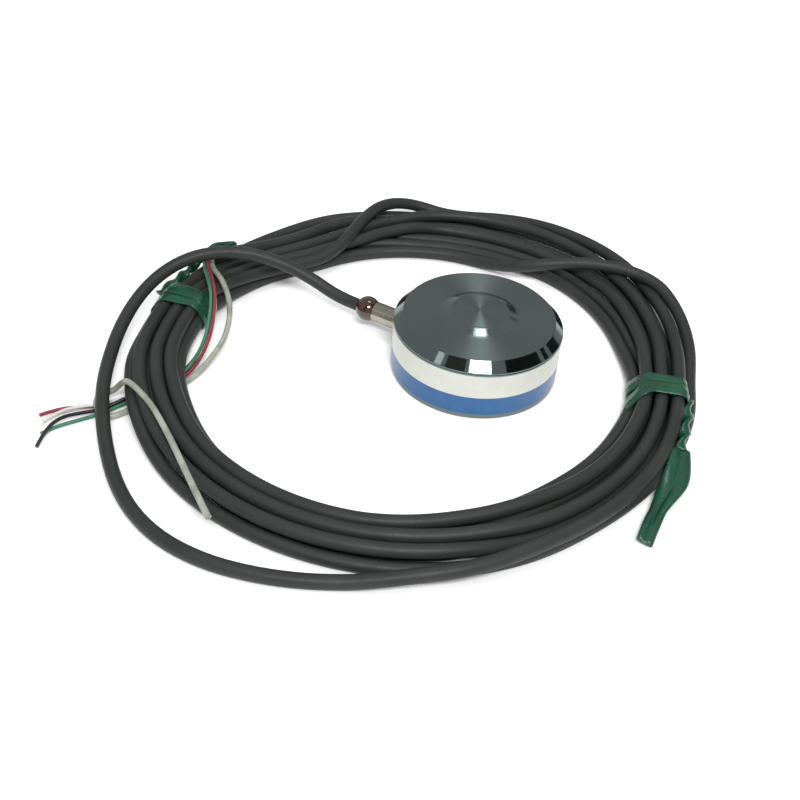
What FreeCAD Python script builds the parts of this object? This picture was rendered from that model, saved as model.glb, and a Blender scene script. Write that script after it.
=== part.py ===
import FreeCAD, Part

import math
import os

import Sketcher
from FreeCAD import Placement, Rotation, Vector

# Compression load cell: a low steel cell with a load button on top, a steel
# gland tube and resin seal at its side, and three metres of thin signal cable
# that lies coiled around it, held by two twisted ties.
# Millimetres. The origin is the centre of the cell's flat base, Z is up, and
# the front of the object faces -Y.

doc = FreeCAD.newDocument("compression_load_cell")

# Driving dimensions, in millimetres and degrees
SIZES = {
    # Turned steel cell
    "bevel_width": 2.0,
    "bevel_height": 2.05,
    "edge_round": 0.2,
    "button_foot_radius": 8.9,
    "button_radius": 6.6,
    "button_height": 1.3,
    "button_crown": 0.35,
    "button_blend": 2.6,
    "diaphragm_thickness": 3.2,
    "cavity_round": 1.0,
    "hub_radius": 6.4,
    "hub_spigot_radius": 5.0,
    "hub_clearance": 1.0,
    "rim_height": 1.1,
    "label_height": 10.3,
    "label_thickness": 0.12,
    "label_gap": 9.0,
    "line_gap": 0.35,
    "line_width": 0.22,
    "line_depth": 0.12,
    "line_land": 0.28,
    # Cover under the cavity
    "cover_seat_width": 1.6,
    "base_ring_width": 3.4,
    "cover_thickness": 1.0,
    "cover_recess": 0.2,
    "cover_clearance": 0.05,
    "cover_chamfer": 0.4,
    # Measuring bridge inside
    "gauge_length": 4.4,
    "gauge_width": 3.0,
    "gauge_film": 0.08,
    "gauge_foil": 0.05,
    "gauge_hub_gap": 1.3,
    "gauge_wall_gap": 1.9,
    "grid_length": 2.2,
    "grid_line": 0.14,
    "grid_pitch": 0.28,
    "tab_size": 0.8,
    "tab_spacing": 1.7,
    "board_thickness": 0.8,
    "board_rise": 1.8,
    "board_clearance": 0.1,
    "board_wall_gap": 2.0,
    "lead_wire": 0.3,
    "wire_hole": 0.5,
    "solder_radius": 0.45,
    "resistor_length": 2.0,
    "resistor_width": 1.25,
    "resistor_height": 0.55,
    "resistor_angle": 24.0,
    # Gland tube, resin seal and cable
    "gland_angle": 152.8,
    "gland_height": 4.5,
    "gland_radius": 2.4,
    "gland_bore": 1.6,
    "gland_reach": 7.6,
    "gland_chamfer": 0.2,
    "anchor_length": 1.2,
    "anchor_radius": 2.5,
    "anchor_wall_gap": 0.4,
    "bead_radius": 3.0,
    "bead_offset": 1.9,
    "cable_diameter": 3.0,
    "lead_straight": 5.4,
    "core_diameter": 0.8,
    "core_offset": 0.5,
    "core_pad_radius": 8.2,
    "core_pad_pitch": 1.7,
    "sleeve_diameter": 1.3,
    # Coil of cable, as the outer shape of its turns
    "coil_centre_x": -14.0,
    "coil_centre_y": -4.0,
    "coil_height": 7.0,
    "coil_top_round": 2.6,
    "coil_foot_round": 1.3,
    "jacket_end_length": 5.0,
    "passage_width": 8.6,
    "passage_height": 2.4,
    "lead_notch_width": 3.6,
    "lead_notch_height": 3.4,
    # Ties
    "tie_width": 4.6,
    "tie_thickness": 0.7,
    "tie_clearance": 0.15,
    "tie_bundle_width": 10.6,
    "tie_bundle_height": 5.9,
    "tie_bundle_round": 2.4,
    "tie_twist_radius": 1.3,
    "tie_tail_width": 4.2,
    "tie_tail_thickness": 1.0,
}
# Sizes that the sheet works out. From the hub outwards, gauges, cavity, cover
# and cell each lie round the one before. From the base up, rim, label, line,
# land and bevel make the cell's height. The board lies above the cable's cores.
WORKED_OUT = {
    "gauge_inner_radius": "hub_radius + gauge_hub_gap",
    "cavity_radius": "gauge_inner_radius + gauge_length + gauge_wall_gap",
    "cover_radius": "cavity_radius + cover_seat_width",
    "cell_radius": "cover_radius + base_ring_width",
    "gland_inner_end": "cavity_radius - anchor_wall_gap",
    "board_height": "gland_height + board_rise",
    "line_height": "rim_height + label_height + line_gap",
    "cell_height": "line_height + line_width + line_land + bevel_height",
}
CELLS = {**SIZES, **{alias: "=" + words for alias, words in WORKED_OUT.items()}}

sheet = doc.addObject("Spreadsheet::Sheet", "Sizes")
for row, (alias, value) in enumerate(CELLS.items(), 1):
    sheet.set(f"A{row}", alias)
    sheet.set(f"B{row}", str(value))
    sheet.setAlias(f"B{row}", alias)
doc.recompute()


def size(alias):
    """A driving dimension as it stands in the sheet."""
    return float(sheet.get(alias))


# Sizes are added up from words, such as "cell_radius - bevel_width / 2", once
# as a number for a first place and once as the expression that drives it.
def total(words):
    value = 0.0
    sign = 1.0
    term = 0.0
    parts = words.split()
    for index, word in enumerate(parts):
        if word in ("+", "-"):
            value += sign * term
            sign = 1.0 if word == "+" else -1.0
            term = 0.0
        elif word == "/":
            term /= float(parts[index + 1])
        elif index == 0 or parts[index - 1] != "/":
            term = size(word) if word in CELLS else float(word)
    return value + sign * term


def expression(words):
    return " ".join(f"Sizes.{word}" if word in CELLS else word for word in words.split())


def bind(thing, **sizes):
    """Tie properties of an object to sums of driving dimensions."""
    for name, words in sizes.items():
        thing.setExpression(name, expression(words))


def place(thing, turn=None, x=None, y=None, z=None):
    """Tie an object's placement to the sheet: a turn about Z, then a shift."""
    thing.Placement = Placement(Vector(), Rotation(Vector(0, 0, 1), 0))
    if turn is not None:
        thing.Placement = Placement(Vector(), Rotation(Vector(0, 0, 1), total(turn)))
        thing.setExpression("Placement.Rotation.Angle", expression(turn))
    for axis, words in (("x", x), ("y", y), ("z", z)):
        if words is not None:
            thing.setExpression(f"Placement.Base.{axis}", expression(words))


def new_body(label):
    body = doc.addObject("PartDesign::Body", label)
    body.Label = label
    return body


def plane_of(body, role):
    for feature in body.Origin.OriginFeatures:
        if feature.Role == role:
            return feature
    raise ValueError(role)


def new_sketch(body, name, role, lift=None):
    """Sketch on one of the body's own planes, lifted along its normal."""
    sketch = body.newObject("Sketcher::SketchObject", name)
    sketch.AttachmentSupport = (plane_of(body, role), "")
    sketch.MapMode = "FlatFace"
    if lift is not None:
        sketch.setExpression("AttachmentOffset.Base.z", expression(lift))
    return sketch


def fix_point(sketch, name, geometry, end, x, y):
    """Hold a point at sums of driving dimensions from the sketch's origin."""
    for kind, axis, words in (("DistanceX", -2, x), ("DistanceY", -1, y)):
        value = total(words)
        if words == "0":
            sketch.addConstraint(Sketcher.Constraint("PointOnObject", geometry, end, axis))
            continue
        if value > 0:
            rule = Sketcher.Constraint(kind, -1, 1, geometry, end, value)
            words_bound = expression(words)
        else:
            rule = Sketcher.Constraint(kind, geometry, end, -1, 1, -value)
            words_bound = f"-({expression(words)})"
        index = sketch.addConstraint(rule)
        label = f"{name}_{kind[-1].lower()}"
        sketch.renameConstraint(index, label)
        sketch.setExpression(f"Constraints.{label}", words_bound)


def outline(sketch, corners, domed=None):
    """Closed outline through corners given as words, counterclockwise.

    The side that starts at the corner `domed` is an arc centred on the
    sketch's vertical axis; the others are straight."""
    points = [Vector(total(x), total(y), 0) for x, y in corners]
    count = len(points)
    first = sketch.GeometryCount
    for index in range(count):
        start, end = points[index], points[(index + 1) % count]
        if index == domed:
            rise = end.y - start.y
            radius = (start.x ** 2 + rise ** 2) / (2 * rise)
            circle = Part.Circle(Vector(0, end.y - radius, 0), Vector(0, 0, 1), radius)
            angle = math.atan2(start.y - (end.y - radius), start.x)
            sketch.addGeometry(Part.ArcOfCircle(circle, angle, math.pi / 2), False)
        else:
            sketch.addGeometry(Part.LineSegment(start, end), False)
    for index in range(count):
        follower = first + (index + 1) % count
        sketch.addConstraint(Sketcher.Constraint("Coincident", first + index, 2, follower, 1))
    if domed is not None:
        sketch.addConstraint(Sketcher.Constraint("PointOnObject", first + domed, 3, -2))
    for index, (x, y) in enumerate(corners):
        fix_point(sketch, f"corner{first + index}", first + index, 1, x, y)


def circle(sketch, x, y, radius):
    geometry = sketch.addGeometry(Part.Circle(Vector(total(x), total(y), 0), Vector(0, 0, 1),
                                              total(radius)), False)
    fix_point(sketch, f"centre{geometry}", geometry, 3, x, y)
    index = sketch.addConstraint(Sketcher.Constraint("Radius", geometry, total(radius)))
    sketch.renameConstraint(index, f"radius{geometry}")
    sketch.setExpression(f"Constraints.radius{geometry}", expression(radius))


def rectangle(sketch, left, right, low, high):
    outline(sketch, [(left, low), (right, low), (right, high), (left, high)])


def revolve(body, sketch, axis, angle=None):
    revolution = body.newObject("PartDesign::Revolution", sketch.Name + "_turned")
    revolution.Profile = sketch
    revolution.ReferenceAxis = (sketch, [axis])
    revolution.Angle = 360.0
    if angle is not None:
        revolution.setExpression("Angle", expression(angle))
    sketch.Visibility = False
    return revolution


def pad(body, sketch, length):
    feature = body.newObject("PartDesign::Pad", sketch.Name + "_raised")
    feature.Profile = sketch
    feature.setExpression("Length", expression(length))
    return feature


def pocket(body, sketch, length, reversed_way=False):
    feature = body.newObject("PartDesign::Pocket", sketch.Name + "_cut")
    feature.Profile = sketch
    feature.Reversed = reversed_way
    feature.setExpression("Length", expression(length))
    return feature


def round_edges(body, radius, spots):
    """Round the circular edges that lie at the given radii and heights."""
    base = body.Tip
    names = []
    for index, edge in enumerate(base.Shape.Edges, 1):
        if edge.Degenerated or edge.Curve.TypeId != "Part::GeomCircle":
            continue
        for spot_radius, spot_height in spots:
            near = abs(edge.Curve.Radius - total(spot_radius)) < 0.01
            if near and abs(edge.Curve.Center.z - total(spot_height)) < 0.01:
                names.append(f"Edge{index}")
    fillet = body.newObject("PartDesign::Fillet", f"{body.Name}_{radius}")
    fillet.Base = (base, names)
    fillet.setExpression("Radius", expression(radius))
    doc.recompute()


# Cell body: one turned piece. The button sits on a hub, and the thin annulus
# between hub and outer ring is the diaphragm that bends under load.
LABEL_BOTTOM = "rim_height"
LABEL_TOP = "rim_height + label_height"
DIAPHRAGM_UNDERSIDE = "cell_height - diaphragm_thickness"
COVER_SEAT = "cover_recess + cover_thickness"
BUTTON_EDGE = "cell_height + button_height - button_crown"


def make_cell_body():
    body = new_body("cell_body")
    profile = new_sketch(body, "cell_profile", "XZ_Plane")
    outline(profile, [
        ("0", COVER_SEAT + " + hub_clearance"),
        ("hub_spigot_radius", COVER_SEAT + " + hub_clearance"),
        ("hub_spigot_radius", "board_height + board_thickness"),
        ("hub_radius", "board_height + board_thickness"),
        ("hub_radius", DIAPHRAGM_UNDERSIDE),
        ("cavity_radius", DIAPHRAGM_UNDERSIDE),
        ("cavity_radius", COVER_SEAT),
        ("cover_radius", COVER_SEAT),
        ("cover_radius", "0"),
        ("cell_radius", "0"),
        ("cell_radius", LABEL_BOTTOM),
        ("cell_radius - label_thickness", LABEL_BOTTOM),
        ("cell_radius - label_thickness", LABEL_TOP),
        ("cell_radius", LABEL_TOP),
        ("cell_radius", "line_height"),
        ("cell_radius - line_depth", "line_height"),
        ("cell_radius - line_depth", "line_height + line_width"),
        ("cell_radius", "line_height + line_width"),
        ("cell_radius", "cell_height - bevel_height"),
        ("cell_radius - bevel_width", "cell_height"),
        ("button_foot_radius", "cell_height"),
        ("button_radius", BUTTON_EDGE),
        ("0", "cell_height + button_height"),
    ], domed=21)
    revolve(body, profile, "V_Axis")
    doc.recompute()
    round_edges(body, "button_blend", [("button_foot_radius", "cell_height")])
    round_edges(body, "cavity_round", [("cavity_radius", DIAPHRAGM_UNDERSIDE),
                                       ("hub_radius", DIAPHRAGM_UNDERSIDE)])
    round_edges(body, "edge_round", [("cell_radius", "cell_height - bevel_height"),
                                     ("cell_radius - bevel_width", "cell_height"),
                                     ("cell_radius", "0")])
    bore = new_sketch(body, "gland_bore", "YZ_Plane", lift="hub_radius + hub_clearance")
    circle(bore, "0", "gland_height", "gland_radius")
    pocket(body, bore, "cell_radius", reversed_way=True)
    place(body, turn="gland_angle")


def make_cover():
    body = new_body("base_cover")
    profile = new_sketch(body, "cover_profile", "XZ_Plane")
    edge = "cover_radius - cover_clearance"
    outline(profile, [
        ("0", "cover_recess"),
        (edge + " - cover_chamfer", "cover_recess"),
        (edge, "cover_recess + cover_chamfer"),
        (edge, COVER_SEAT),
        ("0", COVER_SEAT),
    ])
    revolve(body, profile, "V_Axis")
    # Resin fillet that closes the joint between cover and ring
    seal = new_body("cover_seal")
    ring = new_sketch(seal, "seal_profile", "XZ_Plane")
    outline(ring, [
        (edge + " - cover_chamfer", "cover_recess"),
        ("cover_radius", "cover_recess"),
        ("cover_radius", "cover_recess + cover_chamfer"),
        (edge, "cover_recess + cover_chamfer"),
    ])
    revolve(seal, ring, "V_Axis")


def make_label():
    """Wrap-around label, open where the gland comes out."""
    body = new_body("side_label")
    profile = new_sketch(body, "label_profile", "XZ_Plane")
    rectangle(profile, "cell_radius - label_thickness", "cell_radius", LABEL_BOTTOM, LABEL_TOP)
    revolve(body, profile, "V_Axis", angle="360 - label_gap - label_gap")
    place(body, turn="gland_angle + label_gap")


# Measuring bridge: four foil gauges under the diaphragm, a ring-shaped
# terminal board on the hub's spigot, and the wires between them.
GAUGE_COUNT = 4
FIRST_GAUGE_ANGLE = 45.0
GRID_LINES = 7


def make_gauge(number):
    body = new_body(f"strain_gauge_{number}")
    film_face = DIAPHRAGM_UNDERSIDE + " - gauge_film"
    inner = "gauge_inner_radius"
    film = new_sketch(body, f"film{number}", "XY_Plane", lift=film_face)
    rectangle(film, inner, inner + " + gauge_length", "0 - gauge_width / 2", "gauge_width / 2")
    pad(body, film, "gauge_film")
    foil_face = film_face + " - gauge_foil"
    tabs = new_sketch(body, f"tabs{number}", "XY_Plane", lift=foil_face)
    for side in ("0 - tab_spacing / 2", "tab_spacing / 2"):
        rectangle(tabs, inner + " + grid_pitch", inner + " + grid_pitch + tab_size",
                  side + " - tab_size / 2", side + " + tab_size / 2")
    pad(body, tabs, "gauge_foil")
    line = new_sketch(body, f"grid{number}", "XY_Plane", lift=foil_face)
    grid_start = inner + " + grid_pitch + tab_size + grid_pitch"
    first_line = "0 - grid_pitch - grid_pitch - grid_pitch"
    rectangle(line, grid_start, grid_start + " + grid_length",
              first_line + " - grid_line / 2", first_line + " + grid_line / 2")
    grid = pad(body, line, "gauge_foil")
    pattern = body.newObject("PartDesign::LinearPattern", f"grid{number}_lines")
    pattern.Originals = [grid]
    pattern.Direction = (line, ["V_Axis"])
    pattern.Mode = "Spacing"
    pattern.Occurrences = GRID_LINES
    pattern.setExpression("Offset", "Sizes.grid_pitch")
    body.Tip = pattern
    place(body, turn=f"gland_angle + {FIRST_GAUGE_ANGLE + (number - 1) * 360.0 / GAUGE_COUNT}")


TAB_RADIUS = "gauge_inner_radius + grid_pitch + tab_size / 2"


def make_board():
    body = new_body("terminal_board")
    ring = new_sketch(body, "board_ring", "XY_Plane", lift="board_height")
    circle(ring, "0", "0", "cavity_radius - board_wall_gap")
    circle(ring, "0", "0", "hub_spigot_radius + board_clearance")
    pad(body, ring, "board_thickness")
    holes = new_sketch(body, "wire_holes", "XY_Plane", lift="board_height")
    for side in ("0 - tab_spacing / 2", "tab_spacing / 2"):
        circle(holes, TAB_RADIUS, side, "wire_hole / 2")
    cut = pocket(body, holes, "board_thickness", reversed_way=True)
    pattern = body.newObject("PartDesign::PolarPattern", "wire_holes_around")
    pattern.Originals = [cut]
    pattern.Axis = (holes, ["N_Axis"])
    pattern.Angle = 360.0
    pattern.Occurrences = GAUGE_COUNT
    body.Tip = pattern
    place(body, turn=f"gland_angle + {FIRST_GAUGE_ANGLE}")


def add_solid(label, shape, turn=None):
    """Sub-part whose shape is built from curves and read from the sheet."""
    feature = doc.addObject("Part::Feature", label)
    feature.Label = label
    feature.Shape = shape
    if turn is not None:
        place(feature, turn=turn)
    return feature


def tab_places():
    """Both tabs of each gauge, in the cell's frame with the gland along +X."""
    for number in range(GAUGE_COUNT):
        turn = Rotation(Vector(0, 0, 1), FIRST_GAUGE_ANGLE + number * 360.0 / GAUGE_COUNT)
        for side in (-1, 1):
            yield turn.multVec(Vector(total(TAB_RADIUS), side * size("tab_spacing") / 2, 0))


def make_bridge_wires():
    foil_face = total(DIAPHRAGM_UNDERSIDE + " - gauge_film - gauge_foil")
    board_face = size("board_height")
    wires = []
    joints = []
    for spot in tab_places():
        foot = spot + Vector(0, 0, board_face)
        wires.append(Part.makeCylinder(size("lead_wire") / 2, foil_face - board_face, foot))
        joints.append(Part.makeSphere(size("solder_radius"), foot, Vector(0, 0, 1), -90, 0))
    add_solid("gauge_wires", Part.makeCompound(wires), turn="gland_angle")
    add_solid("solder_joints", Part.makeCompound(joints), turn="gland_angle")


def make_resistor(label, side):
    """Chip resistor under the board, opposite the gland."""
    box = doc.addObject("Part::Box", label)
    box.Label = label
    bind(box, Length="resistor_width", Width="resistor_length", Height="resistor_height")
    angle = total("gland_angle") + 180 + side * size("resistor_angle")
    turn = Rotation(Vector(0, 0, 1), angle)
    corner = Vector(total(TAB_RADIUS), -size("resistor_length") / 2, 0)
    corner = turn.multVec(corner) + Vector(0, 0, total("board_height - resistor_height"))
    box.Placement = Placement(corner, turn)


# Gland: tube pressed into the side bore, anchor ring inside, resin seal bead
# outside. All of it lies on one line that starts at the cell's axis.
GLAND_END = "cell_radius + gland_reach"
BEAD_CENTRE = "cell_radius + gland_reach + bead_offset"
CABLE_EXIT = "cell_radius + gland_reach + bead_offset + bead_radius"


def make_gland():
    tube = new_body("gland_tube")
    wall = new_sketch(tube, "gland_wall", "XZ_Plane")
    outline(wall, [
        ("gland_inner_end", "gland_bore"),
        (GLAND_END, "gland_bore"),
        (GLAND_END, "gland_radius - gland_chamfer"),
        (GLAND_END + " - gland_chamfer", "gland_radius"),
        ("gland_inner_end", "gland_radius"),
    ])
    revolve(tube, wall, "H_Axis")
    place(tube, turn="gland_angle", z="gland_height")

    ring = new_body("cable_anchor")
    section = new_sketch(ring, "anchor_section", "XZ_Plane")
    rectangle(section, "gland_inner_end - anchor_length", "gland_inner_end",
              "cable_diameter / 2", "anchor_radius")
    revolve(ring, section, "H_Axis")
    place(ring, turn="gland_angle", z="gland_height")

    # Bead: a ball of resin between the tube's end and the bare jacket
    bead = new_body("seal_bead")
    section = new_sketch(bead, "bead_section", "XZ_Plane")
    middle = Vector(total(BEAD_CENTRE), 0, 0)
    radius = size("bead_radius")
    inner = size("cable_diameter") / 2
    back = total(GLAND_END)
    rise = math.sqrt(radius ** 2 - (middle.x - back) ** 2)
    front = middle.x + math.sqrt(radius ** 2 - inner ** 2)
    ball = Part.Circle(middle, Vector(0, 0, 1), radius)
    first_angle = math.asin(inner / radius)
    last_angle = math.pi - math.asin(rise / radius)
    section.addGeometry(Part.ArcOfCircle(ball, first_angle, last_angle), False)
    section.addGeometry(Part.LineSegment(Vector(back, rise, 0), Vector(back, inner, 0)), False)
    section.addGeometry(Part.LineSegment(Vector(back, inner, 0), Vector(front, inner, 0)), False)
    section.addConstraint(Sketcher.Constraint("Coincident", 0, 2, 1, 1))
    section.addConstraint(Sketcher.Constraint("Coincident", 1, 2, 2, 1))
    section.addConstraint(Sketcher.Constraint("Coincident", 2, 2, 0, 1))
    section.addConstraint(Sketcher.Constraint("Vertical", 1))
    section.addConstraint(Sketcher.Constraint("Horizontal", 2))
    fix_point(section, "ball", 0, 3, BEAD_CENTRE, "0")
    index = section.addConstraint(Sketcher.Constraint("Radius", 0, radius))
    section.renameConstraint(index, "ball_radius")
    section.setExpression("Constraints.ball_radius", expression("bead_radius"))
    fix_point(section, "back", 2, 1, GLAND_END, "cable_diameter / 2")
    revolve(bead, section, "H_Axis")
    place(bead, turn="gland_angle", z="gland_height")


def make_cable_entry():
    """Stretch of cable that the gland holds, from the cavity to the seal."""
    jacket = doc.addObject("Part::Cylinder", "cable_entry")
    jacket.Label = "cable_entry"
    bind(jacket, Radius="cable_diameter / 2",
         Height=CABLE_EXIT + " - gland_inner_end + anchor_length")
    along = Rotation(Vector(0, 0, 1), size("gland_angle")).multiply(Rotation(Vector(0, 1, 0), 90))
    start = along.multVec(Vector(0, 0, total("gland_inner_end - anchor_length")))
    jacket.Placement = Placement(start + Vector(0, 0, size("gland_height")), along)


# Cords: straight runs joined by tangent arcs. Each arc takes 0.45 of the
# shorter run beside it, so it is as large as the two runs allow.
ARC_SHARE = 0.45


def cord_path(points):
    """Wire through hand-chosen points, with the smallest arc radius in it."""
    points = [Vector(*point) for point in points]
    edges = []
    radii = []
    start = points[0]
    for before, corner, after in zip(points, points[1:], points[2:]):
        incoming = (corner - before).normalize()
        outgoing = (after - corner).normalize()
        half_turn = incoming.getAngle(outgoing) / 2
        setback = ARC_SHARE * min((corner - before).Length, (after - corner).Length)
        radius = setback / math.tan(half_turn)
        arc_start = corner - incoming * setback
        arc_end = corner + outgoing * setback
        inward = (outgoing - incoming).normalize()
        middle = corner + inward * (radius / math.cos(half_turn) - radius)
        edges.append(Part.LineSegment(start, arc_start).toShape())
        edges.append(Part.Arc(arc_start, middle, arc_end).toShape())
        radii.append(radius)
        start = arc_end
    edges.append(Part.LineSegment(start, points[-1]).toShape())
    return Part.Wire(edges), min(radii)


def cord_solid(points, diameter):
    path, tightest = cord_path(points)
    heading = (Vector(*points[1]) - Vector(*points[0])).normalize()
    ring = Part.Circle(Vector(*points[0]), heading, diameter / 2).toShape()
    solid = path.makePipeShell([Part.Wire([ring])], True, False)
    return solid, path.Length, tightest


def make_cord(label, points, diameter, turn=None):
    solid, length, tightest = cord_solid(points, diameter)
    whole = math.pi * diameter ** 2 / 4 * length
    print(f"{label}: {length:.1f} mm long, smallest radius {tightest:.1f} mm,"
          f" volume {solid.Volume / whole:.3f} of section times length")
    return add_solid(label, solid, turn=turn)


CORE_COLOURS = ("red", "white", "black", "green")


def make_inner_cores():
    """Bare ends of the four cores, from the jacket's end up to the board."""
    jacket_end = total("gland_inner_end - anchor_length")
    height = size("gland_height")
    offset = size("core_offset")
    pad_radius = size("core_pad_radius")
    board_face = size("board_height")
    for index, colour in enumerate(CORE_COLOURS):
        side = 1 if index % 2 else -1
        upper = index < 2
        start = height + offset if upper else height - offset
        reach = side * (0.5 if upper else 1.5) * size("core_pad_pitch")
        bend = board_face - (1.2 if upper else 1.5)
        points = [
            (jacket_end, side * offset, start),
            (jacket_end - 1.4, side * offset, start),
            (pad_radius + 1.1, 0.8 * reach, start - 0.5),
            (pad_radius, reach, bend),
            (pad_radius, reach, board_face),
        ]
        make_cord(f"inner_core_{colour}", points, size("core_diameter"), turn="gland_angle")


# Routes as the cord lies: from the seal over the coil's left side, down to
# the floor and round to the front, where it joins the coil.
LEAD_ROUTE = [
    (-38.8, 19.5, 7.0), (-46.0, 21.0, 9.9), (-54.0, 21.3, 12.0), (-61.6, 20.3, 12.4),
    (-68.4, 17.9, 11.6), (-74.2, 13.4, 9.6), (-78.2, 6.2, 7.4), (-80.0, -3.4, 5.8),
    (-80.0, -13.8, 5.0), (-79.0, -23.6, 4.9), (-77.0, -32.4, 4.5), (-74.2, -41.0, 2.8),
    (-70.4, -49.4, 1.6), (-65.2, -57.2, 1.5), (-58.6, -63.4, 1.5), (-50.2, -67.8, 1.5),
    (-41.6, -70.0, 1.5), (-32.4, -70.9, 1.5), (-23.4, -70.4, 1.5),
]

# Bare cores and screen sleeve: from the jacket's end on top of the coil, down
# inside it, under its left side and out on the floor. The sleeve folds back
# under the lead and lies over the coil.
TAIL_ROUTES = {
    "tail_green": [
        (-65.82, 23.91, 8.88), (-65.36, 19.34, 8.88), (-63.4, 14.22, 8.7),
        (-61.63, 8.81, 7.95), (-60.95, 2.84, 6.24), (-60.87, -3.12, 4.52),
        (-61.91, -8.69, 2.91), (-63.9, -13.55, 1.82), (-67.26, -17.93, 1.52),
        (-71.18, -21.68, 1.22), (-74.84, -24.7, 0.89), (-79.0, -28.1, 0.45),
        (-83.0, -30.7, 0.45), (-86.6, -32.9, 0.45), (-89.2, -35.6, 0.45),
    ],
    "tail_black": [
        (-65.82, 23.91, 7.93), (-65.36, 19.34, 7.93), (-63.4, 14.3, 7.85),
        (-61.67, 9.01, 7.05), (-60.97, 3.1, 5.36), (-61.03, -2.84, 3.66),
        (-62.28, -8.36, 2.14), (-64.54, -13.07, 1.37), (-67.92, -17.29, 1.56),
        (-71.68, -21.11, 1.74), (-75.08, -24.38, 1.71), (-79.0, -26.7, 0.55),
        (-82.6, -28.6, 0.9), (-86.2, -31.3, 1.6), (-88.2, -35.4, 1.5), (-88.8, -39.8, 0.6),
    ],
    "tail_white": [
        (-65.0, 24.0, 7.45), (-64.54, 19.42, 7.45), (-62.4, 14.5, 7.75),
        (-60.77, 9.19, 7.05), (-60.05, 3.16, 5.36), (-60.13, -2.88, 3.48),
        (-61.49, -8.51, 1.69), (-64.1, -13.25, 0.58), (-67.94, -17.27, 0.64),
        (-72.02, -20.72, 0.98), (-75.56, -23.7, 1.31), (-79.3, -25.9, 1.25),
        (-83.2, -27.2, 1.5), (-87.0, -29.4, 1.5), (-89.9, -32.3, 0.7),
    ],
    "tail_red": [
        (-65.0, 24.0, 9.35), (-64.54, 19.42, 9.35), (-62.4, 14.5, 8.8),
        (-60.73, 8.99, 7.95), (-60.03, 2.9, 6.24), (-59.97, -3.16, 4.34),
        (-61.12, -8.84, 2.46), (-63.46, -13.73, 1.03), (-67.28, -17.91, 0.6),
        (-71.52, -21.29, 0.46), (-75.32, -24.02, 0.49), (-79.4, -25.4, 0.45),
        (-83.7, -26.6, 0.7), (-87.6, -28.2, 1.1), (-90.8, -30.8, 1.2),
    ],
    "screen_sleeve": [
        (-64.2, 24.08, 8.4), (-63.78, 19.9, 8.4), (-60.2, 15.0, 8.2), (-57.6, 9.2, 7.0),
        (-56.4, 3.2, 5.5), (-56.8, -2.4, 3.7), (-58.9, -7.8, 2.1), (-61.5, -13.0, 1.0),
        (-64.6, -17.2, 0.7), (-68.5, -21.0, 0.7), (-72.6, -24.6, 0.7), (-76.4, -27.9, 0.7),
        (-79.2, -29.8, 1.0), (-81.1, -28.3, 2.45), (-80.6, -25.4, 2.5), (-78.4, -23.4, 2.45),
        (-76.5, -22.9, 3.6), (-75.9, -23.0, 5.8), (-74.0, -24.0, 7.7), (-70.8, -27.0, 7.9),
        (-66.7, -32.0, 7.75), (-63.0, -38.0, 7.75), (-59.4, -44.4, 7.75),
        (-56.0, -50.8, 7.75), (-52.6, -57.0, 7.75), (-49.4, -62.8, 7.75),
    ],
}


def make_free_cords():
    turn = Rotation(Vector(0, 0, 1), size("gland_angle"))
    lift = Vector(0, 0, size("gland_height"))
    exit_point = turn.multVec(Vector(total(CABLE_EXIT), 0, 0)) + lift
    straight_end = turn.multVec(Vector(total(CABLE_EXIT + " + lead_straight"), 0, 0)) + lift
    route = [tuple(exit_point), tuple(straight_end)] + LEAD_ROUTE
    make_cord("cable_lead", route, size("cable_diameter"))
    for label, points in TAIL_ROUTES.items():
        wire = size("sleeve_diameter") if label == "screen_sleeve" else size("core_diameter")
        make_cord(label, points, wire)


# Coil: the outer shape of the turns, a flat ring between two closed outlines.
# Both are given by their distance from the coil's centre, every 30 degrees
# from +X round to the left. Ties squeeze the ring, and it leaves room for the
# lead's end and for the tails below it.
COIL_OUTER = (61.3, 65.0, 68.0, 65.8, 62.0, 61.5, 63.2, 64.2, 65.0, 68.4, 61.5, 59.0)
COIL_INNER = (50.3, 51.3, 49.8, 49.6, 46.3, 47.5, 51.0, 51.8, 52.3, 52.0, 47.5, 48.0)
TIES = {
    "tie_right": {"place": (41.4, -11.4), "turn": -8.0},
    "tie_left": {"place": (-68.6, 10.9), "turn": 165.0},
}
PASSAGE_PLACE = (-70.0, -20.6)
PASSAGE_TURN = 43.0
PASSAGE_LENGTH = 30.0
JACKET_END = Vector(-65.0, 24.0, 8.4)
JACKET_HEADING = Vector(0.1, -0.995, 0).normalize()


def rounded_prism(width, height, corner, length):
    """Bar with rounded corners across X and Z, centred on Y, standing on z = 0."""
    bar = Part.makeBox(width, length, height, Vector(-width / 2, -length / 2, 0))
    upright = [edge for edge in bar.Edges
               if abs(edge.tangentAt(edge.FirstParameter).y) > 0.99]
    return bar.makeFillet(corner, upright)


def tie_frame(label):
    x, y = TIES[label]["place"]
    return Placement(Vector(x, y, 0), Rotation(Vector(0, 0, 1), TIES[label]["turn"]))


def moved(shape, placement):
    shape = shape.copy()
    shape.Placement = placement.multiply(shape.Placement)
    return shape


def ring_prism(radii):
    """Prism of the coil's height inside a smooth closed outline."""
    centre = Vector(size("coil_centre_x"), size("coil_centre_y"), 0)
    points = []
    for index, radius in enumerate(radii):
        angle = math.radians(index * 360.0 / len(radii))
        points.append(centre + Vector(radius * math.cos(angle), radius * math.sin(angle), 0))
    curve = Part.BSplineCurve()
    curve.interpolate(points, PeriodicFlag=True)
    face = Part.Face(Part.Wire([curve.toShape()]))
    return face.extrude(Vector(0, 0, size("coil_height")))


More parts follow.
